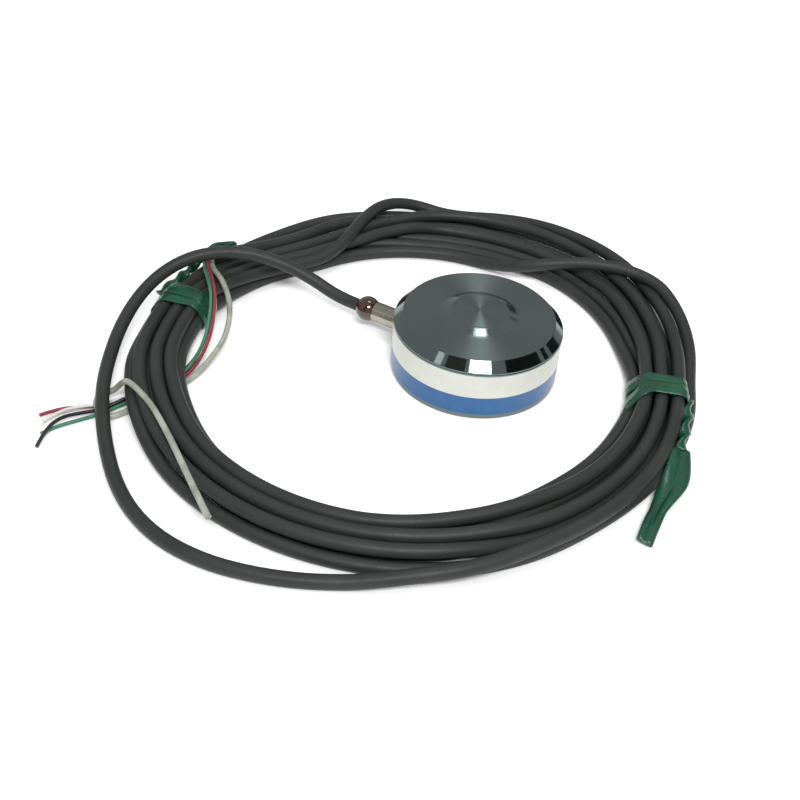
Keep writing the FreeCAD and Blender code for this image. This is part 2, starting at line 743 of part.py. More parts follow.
def make_coil():
    height = size("coil_height")
    ring = ring_prism(COIL_OUTER).cut(ring_prism(COIL_INNER))
    top = [edge for edge in ring.Edges if edge.BoundBox.ZMin > height - 0.01]
    ring = ring.makeFillet(size("coil_top_round"), top)
    foot = [edge for edge in ring.Edges if edge.BoundBox.ZMax < 0.01]
    ring = ring.makeFillet(size("coil_foot_round"), foot)

    # Squeezed by each tie to a narrower bundle, lifted by the tie below it
    room = size("tie_width") + 2 * size("tie_clearance")
    lift = size("tie_thickness")
    reach = 3 * size("tie_bundle_width")
    for label in TIES:
        slab = Part.makeBox(reach, room, height, Vector(-reach / 2, -room / 2, 0))
        core = rounded_prism(size("tie_bundle_width"), size("tie_bundle_height"),
                             size("tie_bundle_round"), room)
        core.translate(Vector(0, 0, lift))
        ring = ring.cut(moved(slab.cut(core), tie_frame(label)))

    # Low passage for the cores and the sleeve
    passage = Part.makeBox(PASSAGE_LENGTH, size("passage_width"), size("passage_height"),
                           Vector(-PASSAGE_LENGTH / 2, -size("passage_width") / 2, 0))
    x, y = PASSAGE_PLACE
    frame = Placement(Vector(x, y, 0), Rotation(Vector(0, 0, 1), PASSAGE_TURN))
    ring = ring.cut(moved(passage, frame))

    # Room for the last run of the lead, which ends against the coil
    last = Vector(*LEAD_ROUTE[-1])
    heading = (last - Vector(*LEAD_ROUTE[-2])).normalize()
    width = size("lead_notch_width")
    length = 3 * width
    notch = Part.makeBox(length, width, size("lead_notch_height"), Vector(-length, -width / 2, 0))
    turn = Rotation(Vector(1, 0, 0), Vector(heading.x, heading.y, 0))
    ring = ring.cut(moved(notch, Placement(Vector(last.x, last.y, 0), turn)))

    # The jacket's end, lying on the coil: the cores and the sleeve start here
    back = JACKET_END - JACKET_HEADING * size("jacket_end_length")
    jacket = Part.makeCylinder(size("cable_diameter") / 2, size("jacket_end_length"),
                               back, JACKET_HEADING)
    add_solid("cable_coil", ring.fuse(jacket))


def flat_bar(points, width, thickness):
    """Flat strip along a route, with its width lying level at the start."""
    path = cord_path(points)[0]
    start = Vector(*points[0])
    heading = (Vector(*points[1]) - start).normalize()
    across = heading.cross(Vector(0, 0, 1)).normalize()
    up = across.cross(heading)
    corners = [start + across * (a * width / 2) + up * (b * thickness / 2)
               for a, b in ((-1, -1), (1, -1), (1, 1), (-1, 1))]
    section = Part.makePolygon(corners + corners[:1])
    return path.makePipeShell([section], True, False)


# Routes of the ties: the twisted pair that leaves the band, then its free end
TIE_TWISTS = {
    "tie_right": [(47.9, -13.0, 4.6), (48.4, -17.4, 3.4), (47.8, -21.6, 2.6), (45.9, -26.0, 2.2)],
    "tie_left": [(-75.4, 12.7, 5.2), (-74.4, 16.0, 7.2), (-72.4, 19.8, 8.6), (-69.6, 23.0, 9.4)],
}
TIE_TAILS = {
    "tie_right": [(45.9, -26.0, 2.2), (43.6, -31.0, 1.8), (40.8, -37.6, 1.2), (38.0, -44.8, 0.8),
                  (35.0, -51.8, 0.7), (32.4, -58.0, 0.7)],
    "tie_left": [(-69.6, 23.0, 9.4), (-67.2, 25.8, 10.6), (-64.0, 27.6, 10.9), (-60.4, 28.8, 10.9)],
}


def make_tie(label):
    width = size("tie_width")
    thickness = size("tie_thickness")
    inner = rounded_prism(size("tie_bundle_width"), size("tie_bundle_height"),
                          size("tie_bundle_round"), width)
    outer = rounded_prism(size("tie_bundle_width") + 2 * thickness,
                          size("tie_bundle_height") + 2 * thickness,
                          size("tie_bundle_round") + thickness, width)
    inner.translate(Vector(0, 0, thickness))
    band = moved(outer.cut(inner), tie_frame(label))
    twist = cord_solid(TIE_TWISTS[label], 2 * size("tie_twist_radius"))[0]
    tail = flat_bar(TIE_TAILS[label], size("tie_tail_width"), size("tie_tail_thickness"))
    add_solid(label, band.fuse([twist, tail]).removeSplitter())


make_cell_body()
make_cover()
make_label()
for gauge in range(1, GAUGE_COUNT + 1):
    make_gauge(gauge)
make_board()
make_bridge_wires()
make_resistor("zero_resistor", -1)
make_resistor("span_resistor", 1)
make_gland()
make_cable_entry()
make_inner_cores()
make_free_cords()
make_coil()
for tie in TIES:
    make_tie(tie)

SUB_PARTS = (
    ["cell_body", "base_cover", "cover_seal", "side_label"]
    + [f"strain_gauge_{number}" for number in range(1, GAUGE_COUNT + 1)]
    + ["terminal_board", "gauge_wires", "solder_joints", "zero_resistor", "span_resistor"]
    + ["gland_tube", "cable_anchor", "seal_bead", "cable_entry"]
    + [f"inner_core_{colour}" for colour in CORE_COLOURS]
    + ["cable_lead", "cable_coil"] + list(TAIL_ROUTES) + list(TIES)
)

doc.recompute()
for item in doc.Objects:
    if "Invalid" in item.State or "Error" in item.State:
        raise RuntimeError(f"{item.Label} did not build: {item.State}")

os.makedirs("parts", exist_ok=True)
for label in SUB_PARTS:
    shape = doc.getObjectsByLabel(label)[0].Shape
    if shape.isNull() or not shape.isValid():
        raise RuntimeError(f"{label} has no valid shape")
    shape.exportStep(f"parts/{label}.step")
    print(f"{label}: {len(shape.Solids)} solids, {shape.Volume:.1f} mm3")
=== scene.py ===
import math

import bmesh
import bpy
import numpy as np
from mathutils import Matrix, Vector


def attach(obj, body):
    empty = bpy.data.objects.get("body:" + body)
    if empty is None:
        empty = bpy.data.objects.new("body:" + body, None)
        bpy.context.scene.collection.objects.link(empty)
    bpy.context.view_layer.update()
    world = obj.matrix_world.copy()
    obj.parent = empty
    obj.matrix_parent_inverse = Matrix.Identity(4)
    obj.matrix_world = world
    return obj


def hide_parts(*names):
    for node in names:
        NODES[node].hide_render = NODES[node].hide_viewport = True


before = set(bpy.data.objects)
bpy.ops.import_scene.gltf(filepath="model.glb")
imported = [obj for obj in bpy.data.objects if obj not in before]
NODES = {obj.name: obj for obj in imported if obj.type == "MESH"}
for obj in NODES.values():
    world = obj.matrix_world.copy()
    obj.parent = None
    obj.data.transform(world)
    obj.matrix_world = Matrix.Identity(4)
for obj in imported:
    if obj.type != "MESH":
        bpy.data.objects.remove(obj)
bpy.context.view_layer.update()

# %% [markdown]
# A compression load cell with its coiled cable. The real one is a steel body
# that gives a little under load, with four strain gauges inside and a thin
# cable to the meter. The cell's solids come from the CAD frame and only get
# materials here. The cable, its leads and its ties are soft, which a solid
# shows poorly, so they are made anew. Lengths are written in millimetres and
# turned into metres by MM. The origin is the centre of the cell's flat base,
# and Z is up.

MM = 0.001
scene = bpy.context.scene
print("nodes in the frame:", len(NODES))

# %% [markdown]
# The camera stands where the photograph was taken. It could be placed by eye,
# but the cell's rims, bevel and label edges are circles of known size, so its
# place, its lens, its pitch and its roll were fitted to them. It looks along
# +Y and 39 degrees down, and it is rolled by 4.6 degrees.

# %% Camera
CAMERA_PLACE = (-16.089, -211.003, 158.794)
PITCH = 0.680133554
ROLL = 0.0805733
LENS = 51.61
SENSOR_WIDTH = 36.0
NEAREST_SEEN = 10.0

level = Vector((1.0, 0.0, 0.0))
upward = Vector((0.0, math.sin(PITCH), math.cos(PITCH)))
camera_x = math.cos(ROLL) * level + math.sin(ROLL) * upward
camera_y = math.cos(ROLL) * upward - math.sin(ROLL) * level
camera_z = camera_x.cross(camera_y)
turn = Matrix((camera_x, camera_y, camera_z)).transposed().to_4x4()
camera = bpy.data.objects.new("camera", bpy.data.cameras.new("camera"))
camera.data.lens = LENS
camera.data.sensor_width = SENSOR_WIDTH
camera.data.clip_start = NEAREST_SEEN * MM
camera.matrix_world = Matrix.Translation(Vector(CAMERA_PLACE) * MM) @ turn
scene.collection.objects.link(camera)
scene.camera = camera
print("camera at", [round(c, 3) for c in camera.location])

# %% [markdown]
# The cable runs in one piece from the gland seal to the end of its jacket, so
# it is one curve. Its first stretch, the lead, lies free and has no rule, so
# it is a list of points: out of the seal, over the coil's back, down its left
# side and in along the floor to the front of the coil.

# %% Points of the lead
LEAD = [
    (-28.02, 14.40, 4.5), (-32.82, 16.87, 4.5),
    (-38.8, 19.5, 7.0), (-46.0, 21.0, 9.9), (-54.0, 21.3, 12.0), (-61.6, 20.3, 12.4),
    (-68.4, 17.9, 11.6), (-74.2, 13.4, 9.6), (-78.2, 6.2, 7.4), (-80.0, -3.4, 5.8),
    (-80.0, -13.8, 5.0), (-79.0, -23.6, 4.9), (-77.0, -32.4, 4.5), (-74.2, -41.0, 2.8),
    (-70.4, -49.4, 1.6), (-65.2, -57.2, 1.5), (-58.6, -63.4, 1.5), (-50.2, -67.8, 1.5),
    (-41.6, -70.0, 1.5), (-32.4, -70.9, 1.5), (-23.4, -70.4, 1.5),
]
CABLE = 3.0
print("points of the lead:", len(LEAD))

# %% [markdown]
# The coil has almost eight turns. A helix would be too even: in a coil that
# was wound by hand the turns wander and cross. So each line below is one
# cross-section, at an angle round the coil's centre, with the distance from
# the centre and the height of its eight strands, in the order in which the
# cable passes. The two strands that cross over the others, at the right and
# at the back, stand out. After a turn each strand takes the next one's place
# in the first section.

# %% Cross-sections of the coil
COIL_CENTRE = (-14.0, -4.0)
FIRST_ANGLE = 262.0
SECTIONS = [
    (262, (67.0, 1.5), (53.2, 4.1), (56.4, 4.1), (60.1, 4.1),
          (62.3, 1.5), (51.7, 1.5), (54.8, 1.5), (58.5, 1.5)),
    (272, (65.3, 3.4), (52.3, 4.1), (56.0, 4.1), (59.9, 4.1),
          (62.1, 1.5), (50.5, 1.5), (54.1, 1.5), (58.1, 1.5)),
    (283, (64.0, 4.1), (51.2, 4.1), (55.7, 4.1), (59.3, 3.9),
          (61.8, 1.5), (49.7, 1.5), (53.5, 1.5), (57.4, 1.5)),
    (295, (61.6, 4.4), (50.8, 4.1), (56.2, 4.2), (57.8, 1.9),
          (60.8, 1.5), (48.5, 1.5), (51.6, 1.5), (54.7, 1.5)),
    (310, (60.2, 4.2), (50.9, 4.1), (56.0, 4.2), (56.6, 1.5),
          (59.7, 1.5), (47.5, 1.5), (50.5, 1.5), (53.5, 1.5)),
    (335, (59.3, 4.1), (51.4, 4.1), (55.4, 4.1), (57.4, 1.5),
          (60.6, 1.5), (48.3, 1.5), (51.3, 1.5), (54.3, 1.5)),
    (352, (59.0, 4.2), (52.3, 4.2), (55.6, 4.2), (59.2, 1.5),
          (62.3, 1.5), (49.9, 1.5), (53.0, 1.5), (56.1, 1.5)),
    (362, (60.0, 4.2), (52.5, 4.2), (55.9, 4.2), (59.7, 1.5),
          (63.0, 1.6), (50.3, 1.5), (53.4, 1.5), (56.5, 1.5)),
    (372, (62.3, 4.1), (54.1, 4.1), (58.0, 4.1), (60.8, 1.5),
          (66.3, 2.3), (50.3, 1.5), (53.3, 1.5), (57.4, 1.5)),
    (382, (65.0, 4.1), (55.6, 4.1), (60.2, 4.1), (62.6, 1.5),
          (68.7, 4.2), (51.2, 1.5), (54.2, 1.5), (59.0, 1.5)),
    (392, (67.6, 4.1), (57.6, 4.0), (62.6, 4.2), (66.0, 1.5),
          (68.9, 6.4), (52.4, 1.5), (55.9, 1.5), (61.3, 1.5)),
    (400, (69.6, 4.1), (58.7, 3.4), (64.0, 4.3), (67.8, 1.5),
          (62.8, 7.3), (53.0, 1.5), (56.5, 1.5), (62.7, 1.6)),
    (406, (70.7, 4.1), (59.4, 3.0), (65.4, 4.3), (69.0, 1.5),
          (56.4, 7.3), (53.4, 1.5), (56.8, 1.5), (63.3, 1.6)),
    (414, (71.4, 4.0), (59.6, 2.9), (66.2, 4.2), (69.7, 1.5),
          (48.8, 6.0), (53.5, 1.5), (56.9, 1.5), (63.4, 1.5)),
    (422, (71.5, 3.6), (59.5, 2.9), (66.8, 4.1), (69.6, 1.5),
          (47.8, 3.3), (52.9, 1.5), (56.5, 1.5), (63.2, 1.5)),
    (432, (71.5, 2.4), (59.3, 2.8), (66.4, 4.0), (68.4, 1.5),
          (48.9, 1.6), (52.6, 1.5), (56.2, 1.5), (62.9, 1.5)),
    (440, (69.6, 1.6), (59.2, 2.8), (65.4, 4.1), (66.5, 1.5),
          (49.3, 1.5), (52.6, 1.5), (56.0, 1.5), (63.0, 1.6)),
    (446, (69.0, 1.7), (58.7, 3.0), (64.2, 4.1), (65.4, 1.5),
          (49.2, 1.5), (52.4, 1.5), (55.7, 1.5), (62.2, 1.6)),
    (450, (70.1, 3.0), (57.2, 3.8), (62.7, 4.2), (66.4, 1.5),
          (49.0, 1.5), (52.2, 1.5), (55.6, 1.5), (62.3, 1.5)),
    (454, (69.6, 4.6), (55.8, 4.1), (61.0, 4.2), (66.8, 1.5),
          (48.9, 1.5), (52.2, 1.5), (55.8, 1.5), (62.5, 1.6)),
    (458, (66.8, 6.1), (54.3, 4.1), (59.3, 4.1), (66.8, 1.5),
          (48.7, 1.5), (52.4, 1.5), (56.4, 1.5), (62.6, 2.1)),
    (462, (61.9, 7.2), (52.8, 4.1), (57.7, 4.1), (66.4, 1.5),
          (48.5, 1.5), (52.7, 1.5), (57.0, 1.5), (61.8, 3.2)),
    (466, (55.2, 7.4), (51.4, 4.1), (56.2, 4.1), (66.5, 1.5),
          (48.3, 1.5), (53.0, 1.5), (57.6, 1.5), (60.8, 4.0)),
    (470, (50.6, 7.0), (50.4, 4.1), (54.9, 4.1), (66.5, 1.5),
          (48.0, 1.5), (52.8, 1.5), (57.5, 1.5), (60.2, 4.1)),
    (475, (46.4, 5.8), (49.4, 4.1), (53.2, 4.1), (65.9, 1.5),
          (47.5, 1.5), (52.0, 1.5), (57.0, 1.5), (58.9, 4.1)),
    (480, (45.2, 4.4), (48.5, 4.1), (52.4, 4.1), (64.6, 1.5),
          (47.0, 1.5), (51.0, 1.5), (55.2, 1.5), (57.0, 4.1)),
    (486, (44.9, 4.0), (47.9, 4.1), (51.9, 4.1), (63.4, 1.5),
          (46.6, 1.5), (50.0, 1.5), (54.9, 1.5), (55.8, 4.2)),
    (498, (47.0, 4.1), (50.1, 4.1), (53.6, 4.1), (62.2, 1.5),
          (48.4, 1.5), (51.7, 1.5), (55.2, 1.5), (56.2, 5.4)),
    (511, (50.0, 4.1), (53.2, 4.1), (56.4, 4.1), (61.5, 1.5),
          (49.9, 1.5), (53.1, 1.5), (56.4, 1.5), (58.2, 8.4)),
    (525, (52.5, 4.1), (55.8, 4.1), (59.1, 4.1), (60.8, 1.5),
          (51.0, 1.5), (54.2, 1.5), (57.5, 1.5), (58.2, 8.4)),
    (550, (53.4, 4.1), (56.5, 4.1), (60.0, 4.1), (61.9, 1.5),
          (52.0, 1.5), (55.0, 1.5), (58.1, 1.5), (58.2, 8.4)),
    (580, (53.8, 4.1), (56.8, 4.1), (60.4, 4.1), (62.6, 1.5),
          (52.3, 1.5), (55.3, 1.5), (58.8, 1.5), (58.2, 8.4)),
    (605, (53.6, 4.1), (56.7, 4.1), (60.5, 4.1), (62.5, 1.5),
          (52.1, 1.5), (55.2, 1.5), (58.9, 1.5), (58.2, 8.4)),
    (622, (53.2, 4.1), (56.4, 4.1), (60.1, 4.1), (62.3, 1.5),
          (51.7, 1.5), (54.8, 1.5), (58.5, 1.5), (58.2, 8.4)),
]
PASSES = 8
print("sections:", len(SECTIONS), "with", PASSES, "strands")

# %% [markdown]
# Between two sections a strand follows a smooth line. Straight steps would
# show as corners in a shiny jacket, so each value runs along a cubic whose
# slope at a section comes from the sections on both sides.

# %% Strands through the sections
STEP = 4.0
PER_TURN = round(360 / STEP)
JACKET_END_ANGLE = 151.0
LAST_ANGLE = JACKET_END_ANGLE + PASSES * 360
COUNT = int((LAST_ANGLE - FIRST_ANGLE) / STEP) - 1
SECTION_ANGLES = [line[0] for line in SECTIONS]


def section_value(number, angle, part):
    """Distance (part 0) or height (part 1) of a strand at an angle in a pass."""
    keys = SECTION_ANGLES
    at = max(i for i in range(len(keys) - 1) if keys[i] <= angle)
    values = [line[number + 1][part] for line in SECTIONS]
    width = keys[at + 1] - keys[at]
    slopes = []
    for i in (at, at + 1):
        low, high = max(i - 1, 0), min(i + 1, len(keys) - 1)
        slopes.append((values[high] - values[low]) / (keys[high] - keys[low]) * width)
    t = (angle - keys[at]) / width
    return (
        values[at] * (2 * t**3 - 3 * t**2 + 1)
        + slopes[0] * (t**3 - 2 * t**2 + t)
        + values[at + 1] * (3 * t**2 - 2 * t**3)
        + slopes[1] * (t**3 - t**2)
    )


angles = FIRST_ANGLE + STEP * np.arange(COUNT)
turned = np.radians(angles)
wanted = np.array([
    [section_value(n // PER_TURN, FIRST_ANGLE + STEP * (n % PER_TURN), part) for part in (0, 1)]
    for n in range(COUNT)
])
print("points in the turns:", COUNT)

# %% [markdown]
# The tails cross below the coil's left side, and each tie passes below the
# bundle. The strands above have to leave room for them. Raising every section
# by hand would be easy to get wrong, so the room is worked out from the
# angle: full height near the crossing, then a slope down to nothing. The one
# strand that runs outside the right tie stays on the floor.

# %% Room under the strands
TAIL_CROSSING = 196.5
RIGHT_TIE = 352.6
LEFT_TIE = 166.4
PASS_BESIDE_TIE = 4
TAIL_ROOM = {"height": 2.3, "flat": 7.0, "slope": 16.0}
RIGHT_TIE_ROOM = {"height": 1.05, "flat": 5.0, "slope": 18.0}
LEFT_TIE_ROOM = {"height": 1.05, "flat": 5.0, "slope": 12.0}
LIFT = 0.9


def room_under(place, height, flat, slope, spared=None):
    """Room under the strands about an angle, none for a pass that is spared."""
    away = np.abs((angles - place + 180) % 360 - 180)
    found = np.clip(height * (1 - (away - flat) / slope), 0.0, height)
    if spared is not None:
        found[spared * PER_TURN:(spared + 1) * PER_TURN] = 0.0
    return found


room = room_under(TAIL_CROSSING, **TAIL_ROOM)
room = np.maximum(room, room_under(RIGHT_TIE, **RIGHT_TIE_ROOM, spared=PASS_BESIDE_TIE))
room = np.maximum(room, room_under(LEFT_TIE, **LEFT_TIE_ROOM))
lowest = CABLE / 2 + room
own_line = wanted + np.stack([np.zeros(COUNT), room * LIFT], axis=1)
print("most room under a strand:", round(float(room.max()), 2), "mm")

# %% [markdown]
# A table that is read from a photograph never fits exactly, and some strands
# would run through each other. A physics simulation could lay them, but it
# may end a little differently each time. Instead the strands settle by simple
# rules that always give the same result. The first rule is that strands which
# lie in each other push apart.

# %% Push between the strands
CONTACT = 3.04
PUSH = 0.28
MEAN_DISTANCE = 57.0
NOT_ZERO = 1e-9


def pushes(strand):
    """How far each point is pushed by strands of the other passes."""
    push = np.zeros_like(strand)
    for turns in range(1, PASSES):
        for near in (-1, 0, 1):
            shift = turns * PER_TURN + near
            gap = strand[shift:] - strand[:-shift]
            along = abs(near) * math.radians(STEP) * MEAN_DISTANCE
            apart = np.sqrt((gap**2).sum(axis=1) + along**2 + NOT_ZERO)
            deep = np.clip(CONTACT - apart, 0.0, None) / apart
            push[shift:] += PUSH * deep[:, None] * gap
            push[:-shift] -= PUSH * deep[:, None] * gap
    return push


print("largest first push:", round(float(np.abs(pushes(own_line)).max()), 2), "mm")

# %% [markdown]
# Each strand also pulls gently back to its own line, its stiffness evens it
# out, and the floor or the room below it holds it up. After a few hundred
# small steps nothing moves any more.

# %% Settling of the strands
PULL = 0.05
EVENING = 0.05
SETTLING_STEPS = 260

strand = own_line.copy()
for _ in range(SETTLING_STEPS):
    push = pushes(strand)
    even = np.zeros_like(strand)
    even[1:-1] = (strand[2:] + strand[:-2]) / 2 - strand[1:-1]
    strand += push + EVENING * even + PULL * (own_line - strand)
    strand[:, 1] = np.maximum(strand[:, 1], lowest)
deepest = 0.0
for shift in range(PER_TURN, PASSES * PER_TURN, PER_TURN):
    gap = strand[shift:] - strand[:-shift]
    deepest = max(deepest, CABLE - float(np.sqrt((gap**2).sum(axis=1)).min()))
print("settled, deepest contact", round(deepest, 2), "mm")

# %% [markdown]
# A cord in Blender is best kept a curve with a round bevel: its points can
# still be moved, and its length can be measured. The NURBS type with three
# points to a bend stays close to its points, and its ends are made to reach
# the first and the last one.

# %% A round cord through points
CORD_ROUNDNESS = 5


def cord_object(name, points, diameter, resolution=8):
    """A curve of one open spline, with the points as its control points."""
    data = bpy.data.curves.new(name, "CURVE")
    data.dimensions = "3D"
    spline = data.splines.new("NURBS")
    spline.points.add(len(points) - 1)
    for knot, place in zip(spline.points, points):
        knot.co = (*(Vector(place) * MM), 1.0)
    spline.order_u = 3
    spline.use_endpoint_u = True
    spline.resolution_u = resolution
    data.bevel_depth = diameter / 2 * MM
    data.bevel_resolution = CORD_ROUNDNESS
    data.use_fill_caps = True
    made = bpy.data.objects.new(name, data)
    scene.collection.objects.link(made)
    return made


print("a cord has", 4 + 2 * CORD_ROUNDNESS, "sides")

# %% [markdown]
# The length that is stated for a cord has to be the length that it has, so it
# is measured. A curve without its bevel turns into a plain line of vertices,
# and the distances between them add up to the length.

# %% Length of a cord
def line_of(cord):
    """Points along a cord's spline, read from the curve with no bevel, in mm."""
    bare = cord.copy()
    bare.data = cord.data.copy()
    bare.data.bevel_depth = 0.0
    scene.collection.objects.link(bare)
    bpy.context.view_layer.update()
    depsgraph = bpy.context.evaluated_depsgraph_get()
    mesh = bpy.data.meshes.new_from_object(bare.evaluated_get(depsgraph))
    points = [vertex.co / MM for vertex in mesh.vertices]
    bpy.data.objects.remove(bare)
    bpy.data.meshes.remove(mesh)
    return points


def length_of(points):
    """Length of a line through points."""
    return sum((b - a).length for a, b in zip(points, points[1:]))


square = [Vector(corner) for corner in ((0, 0, 0), (1, 0, 0), (1, 1, 0))]
print("two sides of a unit square:", length_of(square))

# %% [markdown]
# Now the lead and the turns make one cable. The turns come from the settled
# strands by a loop, from distance and angle to a place in the frame, and the
# last point is the end of the jacket, above the coil's back left.

# %% The cable as one cord
JACKET_END = (-65.0, 24.0, 8.4)
CABLE_RESOLUTION = 4


def strand_point(n):
    """Place of a settled point of the turns."""
    distance, height = strand[n]
    return (
        COIL_CENTRE[0] + distance * math.cos(turned[n]),
        COIL_CENTRE[1] + distance * math.sin(turned[n]),
        height,
    )


cable_points = LEAD + [strand_point(n) for n in range(1, COUNT)] + [JACKET_END]
cable = cord_object("cable", cable_points, CABLE, CABLE_RESOLUTION)
CABLE_LENGTH = length_of(line_of(cable))
print("cable length", round(CABLE_LENGTH), "mm,", len(cable_points), "points")

# %% [markdown]
# At the jacket's end four cores and the sleeve of the screen come out. They
# could be loose hairs, but in the photograph each has a clear way: they dip
# inside the coil, cross below its left side and end bare on the floor. The
# sleeve folds back under the lead and lies over the coil. So each is a cord
# with points of its own.

# %% Bare leads and sleeve
TAILS = {
    "tail_green": [
        (-65.82, 23.91, 8.88), (-65.36, 19.34, 8.88), (-63.4, 14.22, 8.7),
        (-61.63, 8.81, 7.95), (-60.95, 2.84, 6.24), (-60.87, -3.12, 4.52),
        (-61.91, -8.69, 2.91), (-63.9, -13.55, 1.82), (-67.26, -17.93, 1.52),
        (-71.18, -21.68, 1.22), (-74.84, -24.7, 0.89), (-79.0, -28.1, 0.45),
        (-83.0, -30.7, 0.45), (-86.6, -32.9, 0.45), (-89.2, -35.6, 0.45),
    ],
    "tail_black": [
        (-65.82, 23.91, 7.93), (-65.36, 19.34, 7.93), (-63.4, 14.3, 7.85),
        (-61.67, 9.01, 7.05), (-60.97, 3.1, 5.36), (-61.03, -2.84, 3.66),
        (-62.28, -8.36, 2.14), (-64.54, -13.07, 1.37), (-67.92, -17.29, 1.56),
        (-71.68, -21.11, 1.74), (-75.08, -24.38, 1.71), (-79.0, -26.7, 0.55),
        (-82.6, -28.6, 0.9), (-86.2, -31.3, 1.6), (-88.2, -35.4, 1.5), (-88.8, -39.8, 0.6),
    ],
    "tail_white": [
        (-65.0, 24.0, 7.45), (-64.54, 19.42, 7.45), (-62.4, 14.5, 7.75),
        (-60.77, 9.19, 7.05), (-60.05, 3.16, 5.36), (-60.13, -2.88, 3.48),
        (-61.49, -8.51, 1.69), (-64.1, -13.25, 0.58), (-67.94, -17.27, 0.64),
        (-72.02, -20.72, 0.98), (-75.56, -23.7, 1.31), (-79.3, -25.9, 1.25),
        (-83.2, -27.2, 1.5), (-87.0, -29.4, 1.5), (-89.9, -32.3, 0.7),
    ],
    "tail_red": [
        (-65.0, 24.0, 9.35), (-64.54, 19.42, 9.35), (-62.4, 14.5, 8.8),
        (-60.73, 8.99, 7.95), (-60.03, 2.9, 6.24), (-59.97, -3.16, 4.34),
        (-61.12, -8.84, 2.46), (-63.46, -13.73, 1.03), (-67.28, -17.91, 0.6),
        (-71.52, -21.29, 0.46), (-75.32, -24.02, 0.49), (-79.4, -25.4, 0.45),
        (-83.7, -26.6, 0.7), (-87.6, -28.2, 1.1), (-90.8, -30.8, 1.2),
    ],
    "screen_sleeve": [
        (-64.2, 24.08, 8.4), (-63.78, 19.9, 8.4), (-60.2, 15.0, 8.2), (-57.6, 9.2, 7.0),
        (-56.4, 3.2, 5.5), (-56.8, -2.4, 3.7), (-58.9, -7.8, 2.1), (-61.5, -13.0, 1.0),
        (-64.6, -17.2, 0.7), (-68.2, -21.2, 0.7), (-72.0, -25.2, 0.7), (-75.4, -28.5, 0.7),
        (-77.2, -29.1, 0.85), (-79.0, -28.5, 1.65), (-80.0, -26.8, 2.4), (-79.9, -24.9, 2.6),
        (-78.6, -23.4, 2.5), (-76.7, -22.7, 3.1), (-75.0, -23.3, 5.6), (-73.2, -25.0, 7.7),
        (-70.4, -27.8, 7.9),
        (-66.7, -32.0, 7.75), (-63.0, -38.0, 7.75), (-59.4, -44.4, 7.75),
        (-56.0, -50.8, 7.75), (-52.6, -57.0, 7.75), (-49.4, -62.8, 7.75),
    ],
}
CORE = 0.8
SLEEVE = 1.3
WIDTHS = {name: SLEEVE if name == "screen_sleeve" else CORE for name in TAILS}

tails = {}
for name, points in TAILS.items():
    tails[name] = cord_object(name + "_cord", points, WIDTHS[name])
    print(name, round(length_of(line_of(tails[name])), 1), "mm")

# %% [markdown]
# Each tie is a flat plastic strip with a wire in its middle. It goes twice
# round the bundle, is twisted together and ends in a folded tail. A flattened
# tube would lose the ridge over the wire, so each part has a cross-section of
# its own, drawn in parts of its half width and its thickness.

# %% Cross-sections of the ties
BAND_PROFILE = (
    (-1.0, 0.0), (-0.86, 0.5), (-0.5, 0.5), (-0.24, 0.62), (0.0, 1.0), (0.24, 0.62),
    (0.5, 0.5), (0.86, 0.5), (1.0, 0.0), (0.86, -0.5), (0.24, -0.5), (0.0, -0.6),
    (-0.24, -0.5), (-0.86, -0.5),
)
TAIL_PROFILE = (
    (-1.0, 0.0), (-0.92, 0.5), (-0.66, 0.85), (-0.36, 0.8), (-0.12, 0.5), (0.0, 0.15),
    (0.12, 0.5), (0.4, 0.8), (0.7, 0.85), (0.92, 0.5), (1.0, 0.0), (0.9, -0.6),
    (0.4, -0.8), (0.0, -0.6), (-0.4, -0.8), (-0.9, -0.6),
)
TWIST_SIDES = 16
TWIST_HOLLOW = 0.3


def twist_corner(i):
    """A corner of the twist's cross-section, an oval with hollow flanks."""
    way = 2 * math.pi * i / TWIST_SIDES
    return math.cos(way), math.sin(way) * (1.0 - TWIST_HOLLOW * math.sin(way) ** 2)


TWIST_PROFILE = tuple(twist_corner(i) for i in range(TWIST_SIDES))
print("corners:", len(BAND_PROFILE), len(TAIL_PROFILE), len(TWIST_PROFILE))

# %% [markdown]
# A strip is its cross-section carried along a line. A curve with a bevel
# object would turn as it likes, but here the flat side has to face a given
# way at each point. So the first cross-section is extruded from point to
# point, and each new ring is set square to the line. A closed strip is then
# welded where it meets itself, and the ends of an open one are filled.

# %% Ring after ring
def ring_places(place, ahead, side, width, thickness, profile):
    """Places of a cross-section's corners, with its width along a side."""
    across = (side - ahead * ahead.dot(side)).normalized()
    out = across.cross(ahead)
    return [
        (place + across * (u * width / 2) + out * (v * thickness)) * MM
        for u, v in profile
    ]


def grow_ring(shape, ring, places):
    """Extrude a ring of corners, and put the new ring in its places."""
    edges = [shape.edges.get((ring[i - 1], ring[i])) for i in range(len(ring))]
    grown = set(bmesh.ops.extrude_edge_only(shape, edges=edges)["geom"])
    following = []
    for corner, place in zip(ring, places):
        beside = [edge.other_vert(corner) for edge in corner.link_edges]
        twin = next(vertex for vertex in beside if vertex in grown)
        twin.co = place
        following.append(twin)
    return following


print("corners of a band's ring:", len(BAND_PROFILE))

# %% A strip along a line
WELD = 0.001


